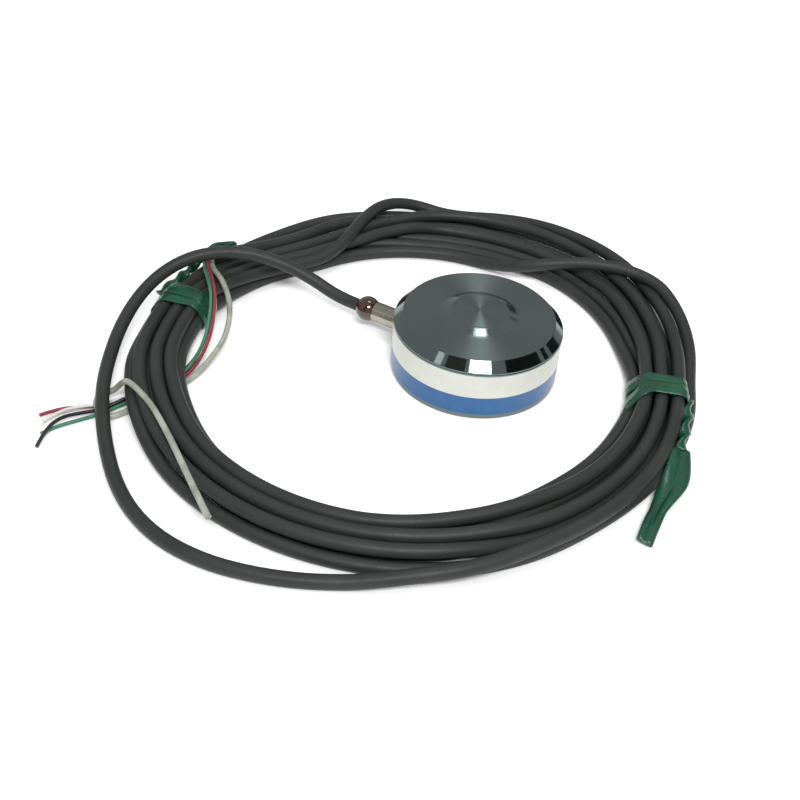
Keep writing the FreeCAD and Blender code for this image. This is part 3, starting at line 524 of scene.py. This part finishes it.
def strip(name, points, sides, widths, thickness, closed, profile):
    """A ribbon of one cross-section through points, with its width along sides."""
    count = len(points)
    rings = []
    for i in range(count):
        before = points[i - 1] if closed or i else points[0]
        after = points[(i + 1) % count] if closed or i < count - 1 else points[-1]
        ahead = (after - before).normalized()
        rings.append(ring_places(points[i], ahead, sides[i], widths[i], thickness, profile))
    shape = bmesh.new()
    first = [shape.verts.new(place) for place in rings[0]]
    for i in range(len(first)):
        shape.edges.new((first[i], first[i - 1]))
    ring = first
    for places in rings[1:] + (rings[:1] if closed else []):
        ring = grow_ring(shape, ring, places)
    if closed:
        bmesh.ops.remove_doubles(shape, verts=first + ring, dist=WELD * MM)
    else:
        bmesh.ops.holes_fill(shape, edges=shape.edges, sides=0)
    bmesh.ops.recalc_face_normals(shape, faces=shape.faces)
    for face in shape.faces:
        face.smooth = True
    mesh = bpy.data.meshes.new(name)
    shape.to_mesh(mesh)
    shape.free()
    made = bpy.data.objects.new(name, mesh)
    scene.collection.objects.link(made)
    return made


print("a strip is welded within", WELD, "mm")

# %% [markdown]
# Rings that stand at equal steps give even faces, so every line is first cut
# into equal steps.

# %% Even points along a line
def even_points(points, count, closed=False):
    """Points at equal steps along a line."""
    line = list(points) + ([points[0]] if closed else [])
    reach = [0.0]
    for a, b in zip(line, line[1:]):
        reach.append(reach[-1] + (b - a).length)
    steps = count if closed else count - 1
    found = []
    for i in range(count):
        want = reach[-1] * i / steps
        at = max(j for j in range(len(reach) - 1) if reach[j] <= want + NOT_ZERO)
        part = (want - reach[at]) / max(reach[at + 1] - reach[at], NOT_ZERO)
        found.append(line[at].lerp(line[at + 1], min(part, 1.0)))
    return found


print("corner in even steps:", [tuple(place) for place in even_points(square, 3)])

# %% [markdown]
# A band lies tight round the strands that it holds, so its line is taken from
# them: in each direction it touches the strand that reaches farthest, at the
# cable's radius and half the strip's thickness more. A few rounds of evening
# give the soft corners of a plastic strip.

# %% Line of a band
BAND_DIRECTIONS = 96
BAND_STEPS = 72
BAND_EVENINGS = 3


def held_strands(angle, outside):
    """Distance and height of the strands that a tie holds."""
    found = []
    for number in range(PASSES):
        n = round((angle - FIRST_ANGLE) % 360 / STEP) + number * PER_TURN
        if n < COUNT and number != outside:
            found.append(tuple(strand[n]))
    return found


def band_line(angle, outside, lean, swell):
    """Closed line of a band round the strands, leaning along the bundle."""
    held = held_strands(angle, outside)
    middle = sum(r for r, z in held) / len(held)
    line = []
    for i in range(BAND_DIRECTIONS):
        way = 2 * math.pi * i / BAND_DIRECTIONS
        across, up = math.cos(way), math.sin(way)
        r, z = max(held, key=lambda place: place[0] * across + place[1] * up)
        line.append(Vector((r - middle + across * swell, z + up * swell, 0.0)))
    line = even_points(line, BAND_STEPS, closed=True)
    for _ in range(BAND_EVENINGS):
        line = [
            (line[i - 1] + line[i] * 2 + line[(i + 1) % BAND_STEPS]) / 4
            for i in range(BAND_STEPS)
        ]
    out = Vector((math.cos(math.radians(angle)), math.sin(math.radians(angle)), 0.0))
    along = Vector((-out.y, out.x, 0.0))
    centre = Vector((*COIL_CENTRE, 0.0)) + out * middle
    places = [centre + out * p.x + Vector((0, 0, p.y)) + along * lean(p.x) for p in line]
    return places, along


print("strands in the right tie:", len(held_strands(RIGHT_TIE, PASS_BESIDE_TIE)))

# %% [markdown]
# The strip goes twice round. The first round lies on the strands, and the
# second, the wrap, lies over it a little farther out and leans the other way,
# as a strip does when it is pulled tight by hand.

# %% Bands round the bundle
TIE_WIDTH = 4.2
STRIP_THICKNESS = 0.34
BAND_SWELL = 1.8
WRAP_SWELL = 2.05


def make_band(name, angle, outside, lean, swell):
    """A closed band of a tie."""
    line, along = band_line(angle, outside, lean, swell)
    sides = [along] * len(line)
    widths = [TIE_WIDTH] * len(line)
    return strip(name, line, sides, widths, STRIP_THICKNESS, True, BAND_PROFILE)


def right_band_lean(x):
    return 2.0 - 0.02 * x


def right_wrap_lean(x):
    return -1.0 + 0.7 * min(x + 2.0, 0.0)


def left_band_lean(x):
    return 1.6 + 0.02 * x


def left_wrap_lean(x):
    return -1.4 - 0.2 * min(x, 0.0)


bands = [
    make_band("tie_right_band", RIGHT_TIE, PASS_BESIDE_TIE, right_band_lean, BAND_SWELL),
    make_band("tie_right_wrap", RIGHT_TIE, PASS_BESIDE_TIE, right_wrap_lean, WRAP_SWELL),
    make_band("tie_left_band", LEFT_TIE, None, left_band_lean, BAND_SWELL),
    make_band("tie_left_wrap", LEFT_TIE, None, left_wrap_lean, WRAP_SWELL),
]
print("bands:", [band.name for band in bands])

# %% [markdown]
# Beyond the bands the two ends are twisted together. A twist is the same
# strip whose side turns by a few half turns along its line. The line itself
# is a smooth spline through a few points, which were read from the photograph
# as those of the lead were.

# %% Twists
TWISTS = {
    "right": [(46.8, -12.6, 4.4), (46.0, -18.0, 4.9), (44.6, -23.6, 4.8), (43.0, -29.0, 4.2)],
    "left": [(-74.6, 12.0, 4.6), (-71.2, 16.6, 6.0), (-68.4, 22.2, 6.4), (-66.4, 27.2, 6.9)],
}
TWIST_STEPS = 60
TWIST_THICKNESS = 0.85
TWIST_SLANT = 0.25


def smooth_line(points, count):
    """Even points along the smooth spline of a few points."""
    guide = cord_object("guide", points, 1.0)
    line = line_of(guide)
    bpy.data.objects.remove(guide)
    return even_points(line, count)


def make_twist(side, half_turns, width):
    """The twisted ends of a tie."""
    line = smooth_line(TWISTS[side], TWIST_STEPS)
    sides = []
    for i in range(TWIST_STEPS):
        way = math.pi * half_turns * i / (TWIST_STEPS - 1)
        sides.append(Vector((math.cos(way), TWIST_SLANT, math.sin(way))))
    widths = [width] * TWIST_STEPS
    name = f"tie_{side}_twist"
    return strip(name, line, sides, widths, TWIST_THICKNESS, False, TWIST_PROFILE)


print("points of a smooth line:", len(smooth_line(TWISTS["right"], TWIST_STEPS)))

# %% [markdown]
# The tie ends in a folded tail. It is flat, grows wider and narrow again, and
# rolls a little from side to side, so its widths and its sides follow sines
# along its line.

# %% Folded tails
ENDS = {
    "right": [
        (43.0, -29.0, 4.2), (42.3, -34.0, 3.6), (39.9, -39.5, 2.7),
        (37.0, -44.5, 1.9), (34.8, -49.3, 1.4), (33.2, -53.6, 1.1),
    ],
    "left": [
        (-66.4, 27.2, 6.9), (-64.8, 30.3, 7.0), (-62.7, 32.7, 6.7), (-60.3, 34.3, 6.3),
    ],
}
TAIL_STEPS = 36
TAIL_THICKNESS = 0.6
TAIL_ROLL = 0.3
ROLL_PER_STEP = 0.21
FIRST_ROLL = 0.5


def make_tail(side, full_width):
    """The folded tail of a tie."""
    line = smooth_line(ENDS[side], TAIL_STEPS)
    sides, widths = [], []
    for i in range(TAIL_STEPS):
        ahead = line[min(i + 1, TAIL_STEPS - 1)] - line[max(i - 1, 0)]
        level_side = ahead.cross(Vector((0, 0, 1))).normalized()
        rolled = TAIL_ROLL * math.sin(i * ROLL_PER_STEP + FIRST_ROLL)
        sides.append(level_side + Vector((0, 0, rolled)))
        along = i / (TAIL_STEPS - 1)
        fullness = math.sin(math.pi * min(along * 1.35 + 0.1, 1.0))
        widths.append(full_width * (0.62 + 0.38 * fullness))
    name = f"tie_{side}_tail"
    return strip(name, line, sides, widths, TAIL_THICKNESS, False, TAIL_PROFILE)


right_parts = bands[:2] + [make_twist("right", 3, 2.7), make_tail("right", 5.7)]
left_parts = bands[2:] + [make_twist("left", 4, 2.4), make_tail("left", 3.2)]
print("tie parts:", len(right_parts) + len(left_parts))

# %% [markdown]
# No real surface has one even colour and one even roughness. Two patterns
# serve most of the materials, so each is a node group that is built once. It
# could be an image, but a pattern of nodes fits a surface of any size. The
# first group, grain, gives a fine and a broad noise.

# %% Grain, a node group
def new_group(name, inputs, outputs):
    """An empty node group with named numbers going in and coming out."""
    group = bpy.data.node_groups.new(name, "ShaderNodeTree")
    for label, value in inputs:
        socket = group.interface.new_socket(
            label, in_out="INPUT", socket_type="NodeSocketFloat",
        )
        socket.default_value = value
    for label in outputs:
        group.interface.new_socket(label, in_out="OUTPUT", socket_type="NodeSocketFloat")
    return group, group.nodes.new("NodeGroupInput"), group.nodes.new("NodeGroupOutput")


GRAIN_DETAIL = 4.0


def grain_group():
    """Fine and broad noise in the object's own coordinates."""
    inputs = [("Scale", 400.0), ("Spots", 60.0)]
    group, given, result = new_group("grain", inputs, ["Fine", "Broad"])
    place = group.nodes.new("ShaderNodeTexCoord")
    for label, source in (("Fine", "Scale"), ("Broad", "Spots")):
        noise = group.nodes.new("ShaderNodeTexNoise")
        noise.inputs["Detail"].default_value = GRAIN_DETAIL
        group.links.new(place.outputs["Object"], noise.inputs["Vector"])
        group.links.new(given.outputs[source], noise.inputs["Scale"])
        group.links.new(noise.outputs["Fac"], result.inputs[label])
    return group


GRAIN = grain_group()
print("node group:", GRAIN.name, "with", len(GRAIN.nodes), "nodes")

# %% [markdown]
# A lathe leaves fine rings about the axis of the cell. The second group gives
# a noise that changes only with the distance from that axis and with the
# height, so it runs in rings over the top and down the bevel. It also puts
# out the distance, by which the finish can change from face to face.

# %% Lathe rings, a node group
RING_DETAIL = 5.0


def rings_group():
    """Noise in rings about the cell's axis, and the distance from it."""
    group, given, result = new_group("lathe_rings", [("Rings", 2200.0)], ["Value", "Radius"])
    place = group.nodes.new("ShaderNodeTexCoord")
    split = group.nodes.new("ShaderNodeSeparateXYZ")
    flat = group.nodes.new("ShaderNodeCombineXYZ")
    length = group.nodes.new("ShaderNodeVectorMath")
    length.operation = "LENGTH"
    noise = group.nodes.new("ShaderNodeTexNoise")
    noise.noise_dimensions = "1D"
    noise.inputs["Detail"].default_value = RING_DETAIL
    sum_up = group.nodes.new("ShaderNodeMath")
    sum_up.operation = "ADD"
    group.links.new(place.outputs["Object"], split.inputs[0])
    group.links.new(split.outputs["X"], flat.inputs["X"])
    group.links.new(split.outputs["Y"], flat.inputs["Y"])
    group.links.new(flat.outputs[0], length.inputs[0])
    group.links.new(length.outputs["Value"], sum_up.inputs[0])
    group.links.new(split.outputs["Z"], sum_up.inputs[1])
    group.links.new(sum_up.outputs[0], noise.inputs["W"])
    group.links.new(given.outputs["Rings"], noise.inputs["Scale"])
    group.links.new(noise.outputs["Fac"], result.inputs["Value"])
    group.links.new(length.outputs["Value"], result.inputs["Radius"])
    return group


RINGS = rings_group()
print("node group:", RINGS.name, "with", len(RINGS.nodes), "nodes")

# %% [markdown]
# Colours are easiest to read off a screen, in steps from 0 to 255, but a
# shader works with light, so each number is turned to its amount of light.

# %% Colours
def linear(red, green, blue):
    """A colour written in 0 to 255 as it looks on the screen."""
    values = []
    for value in (red, green, blue):
        value /= 255
        values.append(value / 12.92 if value <= 0.04045 else ((value + 0.055) / 1.055) ** 2.4)
    return (*values, 1.0)


print("middle grey:", round(linear(128, 128, 128)[0], 3))

# %% [markdown]
# Every finish is built in the same way: numbers that are even all over the
# surface stand on the shader itself, and colour, roughness and bump come from
# a pattern. A small class keeps a material with its shader and names these
# few moves, so that each finish below takes a few lines.

# %% A material in the making
class Paint:
    """A material with its Principled shader and short ways to add nodes."""

    def __init__(self, name, **values):
        self.made = bpy.data.materials.new(name)
        self.made.use_nodes = True
        self.nodes = self.made.node_tree.nodes
        self.links = self.made.node_tree.links
        self.shader = self.nodes["Principled BSDF"]
        for label, value in values.items():
            self.shader.inputs[label.replace("_", " ")].default_value = value

    def group(self, tree, **values):
        node = self.nodes.new("ShaderNodeGroup")
        node.node_tree = tree
        for label, value in values.items():
            node.inputs[label].default_value = value
        return node

    def ramp(self, source, *stops):
        node = self.nodes.new("ShaderNodeValToRGB")
        while len(node.color_ramp.elements) < len(stops):
            node.color_ramp.elements.new(0.5)
        for element, (place, colour) in zip(node.color_ramp.elements, stops):
            element.position = place
            element.color = colour
        self.links.new(source, node.inputs["Fac"])
        return node.outputs["Color"]

    def range(self, source, low, high, to_low, to_high):
        node = self.nodes.new("ShaderNodeMapRange")
        labels = ("From Min", "From Max", "To Min", "To Max")
        for label, value in zip(labels, (low, high, to_low, to_high)):
            node.inputs[label].default_value = value
        self.links.new(source, node.inputs["Value"])
        return node.outputs["Result"]

    def maths(self, operation, first, second):
        node = self.nodes.new("ShaderNodeMath")
        node.operation = operation
        self.links.new(first, node.inputs[0])
        self.links.new(second, node.inputs[1])
        return node.outputs[0]

    def bump(self, source, strength, distance):
        node = self.nodes.new("ShaderNodeBump")
        node.inputs["Strength"].default_value = strength
        node.inputs["Distance"].default_value = distance
        self.links.new(source, node.inputs["Height"])
        self.links.new(node.outputs["Normal"], self.shader.inputs["Normal"])

    def feed(self, label, source):
        self.links.new(source, self.shader.inputs[label])


print("ways to add nodes:", [way for way in vars(Paint) if not way.startswith("_")])

# %% [markdown]
# Most finishes are two near colours in broad soft spots, with a fine grain in
# the roughness and in a very low bump.

# %% Grained finishes
ROUGHNESS_SPREAD = 0.06
GRAIN_HEIGHT = 0.0001


def grained(name, dark, light, rough, bump=0.25, scale=900.0, spots=120.0, **values):
    """A material of two near colours in broad spots with a fine grain."""
    paint = Paint(name, **values)
    grain = paint.group(GRAIN, Scale=scale, Spots=spots)
    tones = (0.35, linear(*dark)), (0.65, linear(*light))
    paint.feed("Base Color", paint.ramp(grain.outputs["Broad"], *tones))
    low, high = rough - ROUGHNESS_SPREAD, rough + ROUGHNESS_SPREAD
    paint.feed("Roughness", paint.range(grain.outputs["Fine"], 0.3, 0.7, low, high))
    paint.bump(grain.outputs["Fine"], bump, GRAIN_HEIGHT)
    return paint


print("roughness spreads by", ROUGHNESS_SPREAD)

# %% [markdown]
# The cell is turned from stainless steel. Its top is brushed by the lathe, so
# it shows a soft fan of light instead of a mirror: the shader's anisotropy
# with a radial tangent does this. The bevel and the shoulder of the button
# are polished, so the roughness is also multiplied by a value that changes
# with the distance from the axis, POLISH, whose distances are in metres.

# %% Turned steel
POLISH_REACH = 0.02
POLISH = (
    (0.0, 1.0), (0.0062, 1.0), (0.0069, 0.5), (0.0084, 0.5),
    (0.0090, 1.0), (0.01692, 1.0), (0.0171, 0.22),
)
TURNED_SPREAD = 0.02
QUARTER_TURN = 0.25


def steel(name, dark, light, rough, anisotropic, rings):
    """Turned steel: fine rings about the cell's axis, and a polished bevel."""
    paint = Paint(name, Metallic=1.0, Anisotropic=anisotropic, Anisotropic_Rotation=QUARTER_TURN)
    lathe = paint.group(RINGS, Rings=rings)
    tones = (0.3, linear(*dark)), (0.7, linear(*light))
    paint.feed("Base Color", paint.ramp(lathe.outputs["Value"], *tones))
    low, high = rough - TURNED_SPREAD, rough + TURNED_SPREAD
    turned_face = paint.range(lathe.outputs["Value"], 0.3, 0.7, low, high)
    outward = paint.range(lathe.outputs["Radius"], 0.0, POLISH_REACH, 0.0, 1.0)
    stops = [(radius / POLISH_REACH, (part, part, part, 1.0)) for radius, part in POLISH]
    polish = paint.ramp(outward, *stops)
    paint.feed("Roughness", paint.maths("MULTIPLY", turned_face, polish))
    paint.bump(lathe.outputs["Value"], 0.05, 0.00001)
    tangent = paint.nodes.new("ShaderNodeTangent")
    tangent.direction_type = "RADIAL"
    tangent.axis = "Z"
    paint.links.new(tangent.outputs["Tangent"], paint.shader.inputs["Tangent"])
    return paint


cell_steel = steel("cell_steel", (108, 121, 119), (116, 129, 127), 0.34, 0.85, 9000.0)
cover_steel = steel("cover_steel", (120, 126, 126), (146, 152, 152), 0.3, 0.4, 1800.0)
print("steels:", cell_steel.made.name, cover_steel.made.name)

# %% [markdown]
# The label is a foil, white above and blue below, under a thin clear film.
# Two pieces of foil could do it, but on the real one it is print, so the
# height above the base chooses the colour, with a very short change at the
# edge. The real label's words are left off.

# %% Label
BLUE_TOP = 0.0056
BLUE_END = 0.00566


def label_paint():
    """White above, blue below, on a thin glossy film."""
    paint = Paint("label_foil", Roughness=0.3, Coat_Weight=0.15, Coat_Roughness=0.1)
    place = paint.nodes.new("ShaderNodeTexCoord")
    split = paint.nodes.new("ShaderNodeSeparateXYZ")
    paint.links.new(place.outputs["Object"], split.inputs[0])
    height = paint.range(split.outputs["Z"], BLUE_TOP, BLUE_END, 0.0, 1.0)
    grain = paint.group(GRAIN, Scale=2600.0, Spots=300.0)
    blues = (0.3, linear(22, 90, 147)), (0.7, linear(29, 98, 155))
    whites = (0.3, linear(220, 222, 211)), (0.7, linear(227, 229, 219))
    mix = paint.nodes.new("ShaderNodeMix")
    mix.data_type = "RGBA"
    paint.links.new(height, mix.inputs["Factor"])
    paint.links.new(paint.ramp(grain.outputs["Broad"], *blues), mix.inputs["A"])
    paint.links.new(paint.ramp(grain.outputs["Broad"], *whites), mix.inputs["B"])
    paint.feed("Base Color", mix.outputs["Result"])
    paint.bump(grain.outputs["Fine"], 0.08, 0.00003)
    return paint


label_foil = label_paint()
print("label:", label_foil.made.name)

# %% [markdown]
# The gland tube is drawn steel and not turned about the cell's axis, so it
# only has a grain. The seal is brown cast resin, dark and very smooth, which
# a clear coat over the colour shows best.

# %% Gland and seal
gland_steel = grained(
    "gland_steel", (150, 146, 134), (168, 164, 152), 0.28, 0.015, 800.0, 200.0,
    Metallic=1.0,
)
seal_resin = grained(
    "seal_resin", (44, 20, 10), (64, 32, 14), 0.12, 0.05, 500.0, 300.0,
    Coat_Weight=1.0, Coat_Roughness=0.03,
)
print("gland and seal:", gland_steel.made.name, seal_resin.made.name)

# %% [markdown]
# The jacket is dull black rubber, the cores have thin coloured insulation,
# the sleeve is a pale fibre with a coarser grain, and the ties are green
# plastic that lets a little light in.

# %% Materials of the cable, leads and ties
jacket = grained(
    "cable_jacket", (45, 49, 46), (52, 55, 53), 0.5, 0.3, 1500.0, 90.0,
    Specular_IOR_Level=0.3,
)
cores = {
    "tail_red": grained("core_red", (132, 40, 54), (156, 56, 72), 0.4),
    "tail_white": grained("core_white", (206, 208, 200), (228, 228, 222), 0.4),
    "tail_black": grained("core_black", (24, 24, 26), (36, 36, 38), 0.4),
    "tail_green": grained("core_green", (44, 112, 82), (70, 140, 106), 0.4),
    "screen_sleeve": grained(
        "sleeve", (140, 146, 134), (176, 180, 166), 0.3, 0.2, 1400.0, 260.0,
    ),
}
tie_green = grained(
    "tie", (16, 66, 48), (26, 84, 60), 0.3, 0.3, 700.0, 150.0,
    Subsurface_Weight=0.2, Subsurface_Scale=0.001,
)
tie_green.shader.inputs["Subsurface Radius"].default_value = (0.4, 1.0, 0.7)
print("cable materials:", 2 + len(cores))

# %% [markdown]
# The pieces inside the cell are never seen in the main picture, but each still
# has its own finish: amber gauge film, green board, copper wire, tin solder.

# %% Materials inside the cell
inner_paints = [
    grained("cover_resin", (34, 36, 40), (46, 48, 52), 0.4),
    grained("gauge_film", (176, 120, 52), (200, 146, 74), 0.35),
    grained("board", (26, 88, 52), (36, 104, 62), 0.4),
    grained("wire", (176, 110, 66), (200, 132, 84), 0.3, Metallic=1.0),
    grained("solder", (176, 178, 180), (200, 202, 204), 0.3, Metallic=1.0),
    grained("resistor", (26, 26, 28), (38, 38, 40), 0.45),
    grained("anchor_brass", (172, 136, 70), (196, 160, 92), 0.3, Metallic=1.0),
]
outer_paints = [
    jacket, cell_steel, cover_steel, gland_steel, label_foil, seal_resin, tie_green,
    *cores.values(),
]
print("paints:", len(inner_paints) + len(outer_paints))

# %% [markdown]
# A CAD node carries a plain material with the record's name of its finish, so
# each slot takes the paint of the same name.

# %% Paint on the CAD nodes
def finish_name(material):
    """Name of a finish, without the number that Blender adds to a second one."""
    return material.name.split(".")[0]


finishes = {finish_name(paint.made): paint.made for paint in inner_paints + outer_paints}
for node in NODES.values():
    for spot in node.material_slots:
        spot.material = finishes[finish_name(spot.material)]
print("nodes painted:", len(NODES))

# %% [markdown]
# Every new piece takes its paint and rides on the one body, and the CAD node
# that it stands for is hidden. The length of each cord is measured too.

# %% Paint of the cable
def add_paint(piece, paint):
    """A new piece's material, and the one body that it rides on."""
    piece.data.materials.append(paint.made)
    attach(piece, "root")


add_paint(cable, jacket)
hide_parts("cable_lead", "cable_coil")
print("cable declared:", round(CABLE_LENGTH * MM, 3), "m")

# %% Paint of the leads and ties
for name, cord in tails.items():
    add_paint(cord, cores[name])
    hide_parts(name)
    cord_length = length_of(line_of(cord)) * MM
for parts, node in ((right_parts, "tie_right"), (left_parts, "tie_left")):
    for part in parts:
        add_paint(part, tie_green)
        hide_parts(node)
print("cords declared:", 1 + len(tails))

# %% [markdown]
# The floor is a sheet of white paper, much larger than what the camera sees,
# so its edge never shows. It lies a hair below the part, so that the two
# don't fight for the same plane.

# %% Floor
FLOOR_SIZE = 3.0
FLOOR_DROP = 0.02

floor_shape = bmesh.new()
bmesh.ops.create_grid(floor_shape, x_segments=1, y_segments=1, size=FLOOR_SIZE)
bmesh.ops.translate(floor_shape, verts=floor_shape.verts, vec=(0.0, 0.0, -FLOOR_DROP * MM))
floor_mesh = bpy.data.meshes.new("floor")
floor_shape.to_mesh(floor_mesh)
floor_shape.free()
floor = bpy.data.objects.new("floor", floor_mesh)
scene.collection.objects.link(floor)
print("floor made,", 2 * FLOOR_SIZE, "m wide")

# %% [markdown]
# Light that is strong enough to make the paper pure white would also bleach
# the part. So the paper glows a little, but only for rays from the camera or
# from a mirror, and the part gets no light from it. An ambient occlusion node
# takes the glow away close to the strands, which paints shade on the paper
# there and in the gaps between them.

# %% Paper of the floor
PAPER_WHITE = (0.9, 0.9, 0.9, 1.0)
PAPER_GLOW = 0.45
SHADE_REACH = 0.006
SHADE_SAMPLES = 4

paper = Paint("paper", Roughness=0.9)
paper.shader.inputs["Base Color"].default_value = PAPER_WHITE
paper_grain = paper.group(GRAIN, Scale=300.0, Spots=30.0)
paper.bump(paper_grain.outputs["Fine"], 0.02, 0.0001)
seen = paper.nodes.new("ShaderNodeLightPath")
shade = paper.nodes.new("ShaderNodeAmbientOcclusion")
shade.samples = SHADE_SAMPLES
shade.inputs["Distance"].default_value = SHADE_REACH
either = paper.maths("MAXIMUM", seen.outputs["Is Camera Ray"], seen.outputs["Is Glossy Ray"])
weaker = paper.range(either, 0.0, 1.0, 0.0, PAPER_GLOW)
glow = paper.nodes.new("ShaderNodeEmission")
both = paper.nodes.new("ShaderNodeAddShader")
# Painted shade: the paper's glow fades close to the strands.
glow_strength = paper.maths("MULTIPLY", weaker, shade.outputs["AO"])
paper.links.new(glow_strength, glow.inputs["Strength"])
paper.links.new(paper.shader.outputs[0], both.inputs[0])
paper.links.new(glow.outputs[0], both.inputs[1])
paper.links.new(both.outputs[0], paper.nodes["Material Output"].inputs["Surface"])
floor.data.materials.append(paper.made)
print("glow of the paper:", PAPER_GLOW)

# %% [markdown]
# Polished steel shows nothing but what stands around it. In the photograph
# the bevel mirrors a bright window in front, a dimmer one at the left, and the
# button's shoulder mirrors one above. Each is a rectangular lamp at the place
# that the steel's slope mirrors. The key lamp also gives the soft shadows.

# %% Lamps
LAMPS = {
    "key": {"place": (0.062, -0.44, 0.56), "width": 0.26, "height": 0.16, "power": 3.8},
    "left_window": {"place": (-0.50, -0.33, 0.56), "width": 0.10, "height": 0.12, "power": 0.06},
    "top_window": {"place": (0.045, 0.12, 0.58), "width": 0.13, "height": 0.05, "power": 0.4},
}


def lamp(name, place, width, height, power):
    """A rectangular lamp that looks at the cell."""
    data = bpy.data.lights.new(name, "AREA")
    data.shape = "RECTANGLE"
    data.size = width
    data.size_y = height
    data.energy = power
    made = bpy.data.objects.new(name, data)
    made.location = place
    made.rotation_euler = (-Vector(place)).to_track_quat("-Z", "Y").to_euler()
    scene.collection.objects.link(made)


for name, values in LAMPS.items():
    lamp(name, **values)

# %% [markdown]
# Between the windows the bevel is nearly black, as it mirrors the dark parts
# of the room. A photographer sets up black cards for this. Each card here
# stands upright round the cell, between two angles that are counted from the
# camera's side, and only mirrors see it: the camera doesn't.

# %% Cards that the bevel mirrors
CARD_DISTANCE = 0.8
CARD_LOW = 0.12
CARD_HIGH = 1.5


def card(name, start, end, paint, low=CARD_LOW, high=CARD_HIGH):
    """An upright card round the cell, between two angles from the camera's side."""
    shape = bmesh.new()
    corners = []
    for angle, height in ((start, low), (end, low), (end, high), (start, high)):
        way = math.radians(angle)
        across, away = CARD_DISTANCE * math.sin(way), CARD_DISTANCE * math.cos(way)
        corners.append(shape.verts.new((across, -away, height)))
    bmesh.ops.contextual_create(shape, geom=corners)
    mesh = bpy.data.meshes.new(name)
    shape.to_mesh(mesh)
    shape.free()
    made = bpy.data.objects.new(name, mesh)
    made.data.materials.append(paint.made)
    made.visible_camera = False
    scene.collection.objects.link(made)


dark_card = grained("dark_card", (44, 48, 46), (54, 58, 56), 0.8)
grey_card = grained("grey_card", (116, 116, 110), (136, 132, 126), 0.8)
card("card_right", 46, 92, dark_card)
card("card_far_right", 97, 103, dark_card)
card("card_back_right", 108, 146, dark_card, high=0.42)
card("card_left", -46, -16, grey_card)
card("card_back", 150, 187, dark_card, low=0.0, high=0.23)

# %% [markdown]
# The world lights the part evenly from all sides at half strength. Seen
# straight by the camera it is pure white, which is the paper's white too.

# %% World
SKY_LIGHT = 0.5
SKY_SEEN = 1.0

world = bpy.data.worlds.new("studio")
world.use_nodes = True
sky_nodes = world.node_tree.nodes
sky = sky_nodes["Background"]
sky.inputs["Color"].default_value = (1.0, 1.0, 1.0, 1.0)
behind = sky_nodes.new("ShaderNodeLightPath")
sky_level = sky_nodes.new("ShaderNodeMapRange")
sky_level.inputs["To Min"].default_value = SKY_LIGHT
sky_level.inputs["To Max"].default_value = SKY_SEEN
world.node_tree.links.new(behind.outputs["Is Camera Ray"], sky_level.inputs["Value"])
world.node_tree.links.new(sky_level.outputs["Result"], sky.inputs["Strength"])
scene.world = world
scene.view_settings.view_transform = "Standard"
print("world:", world.name)
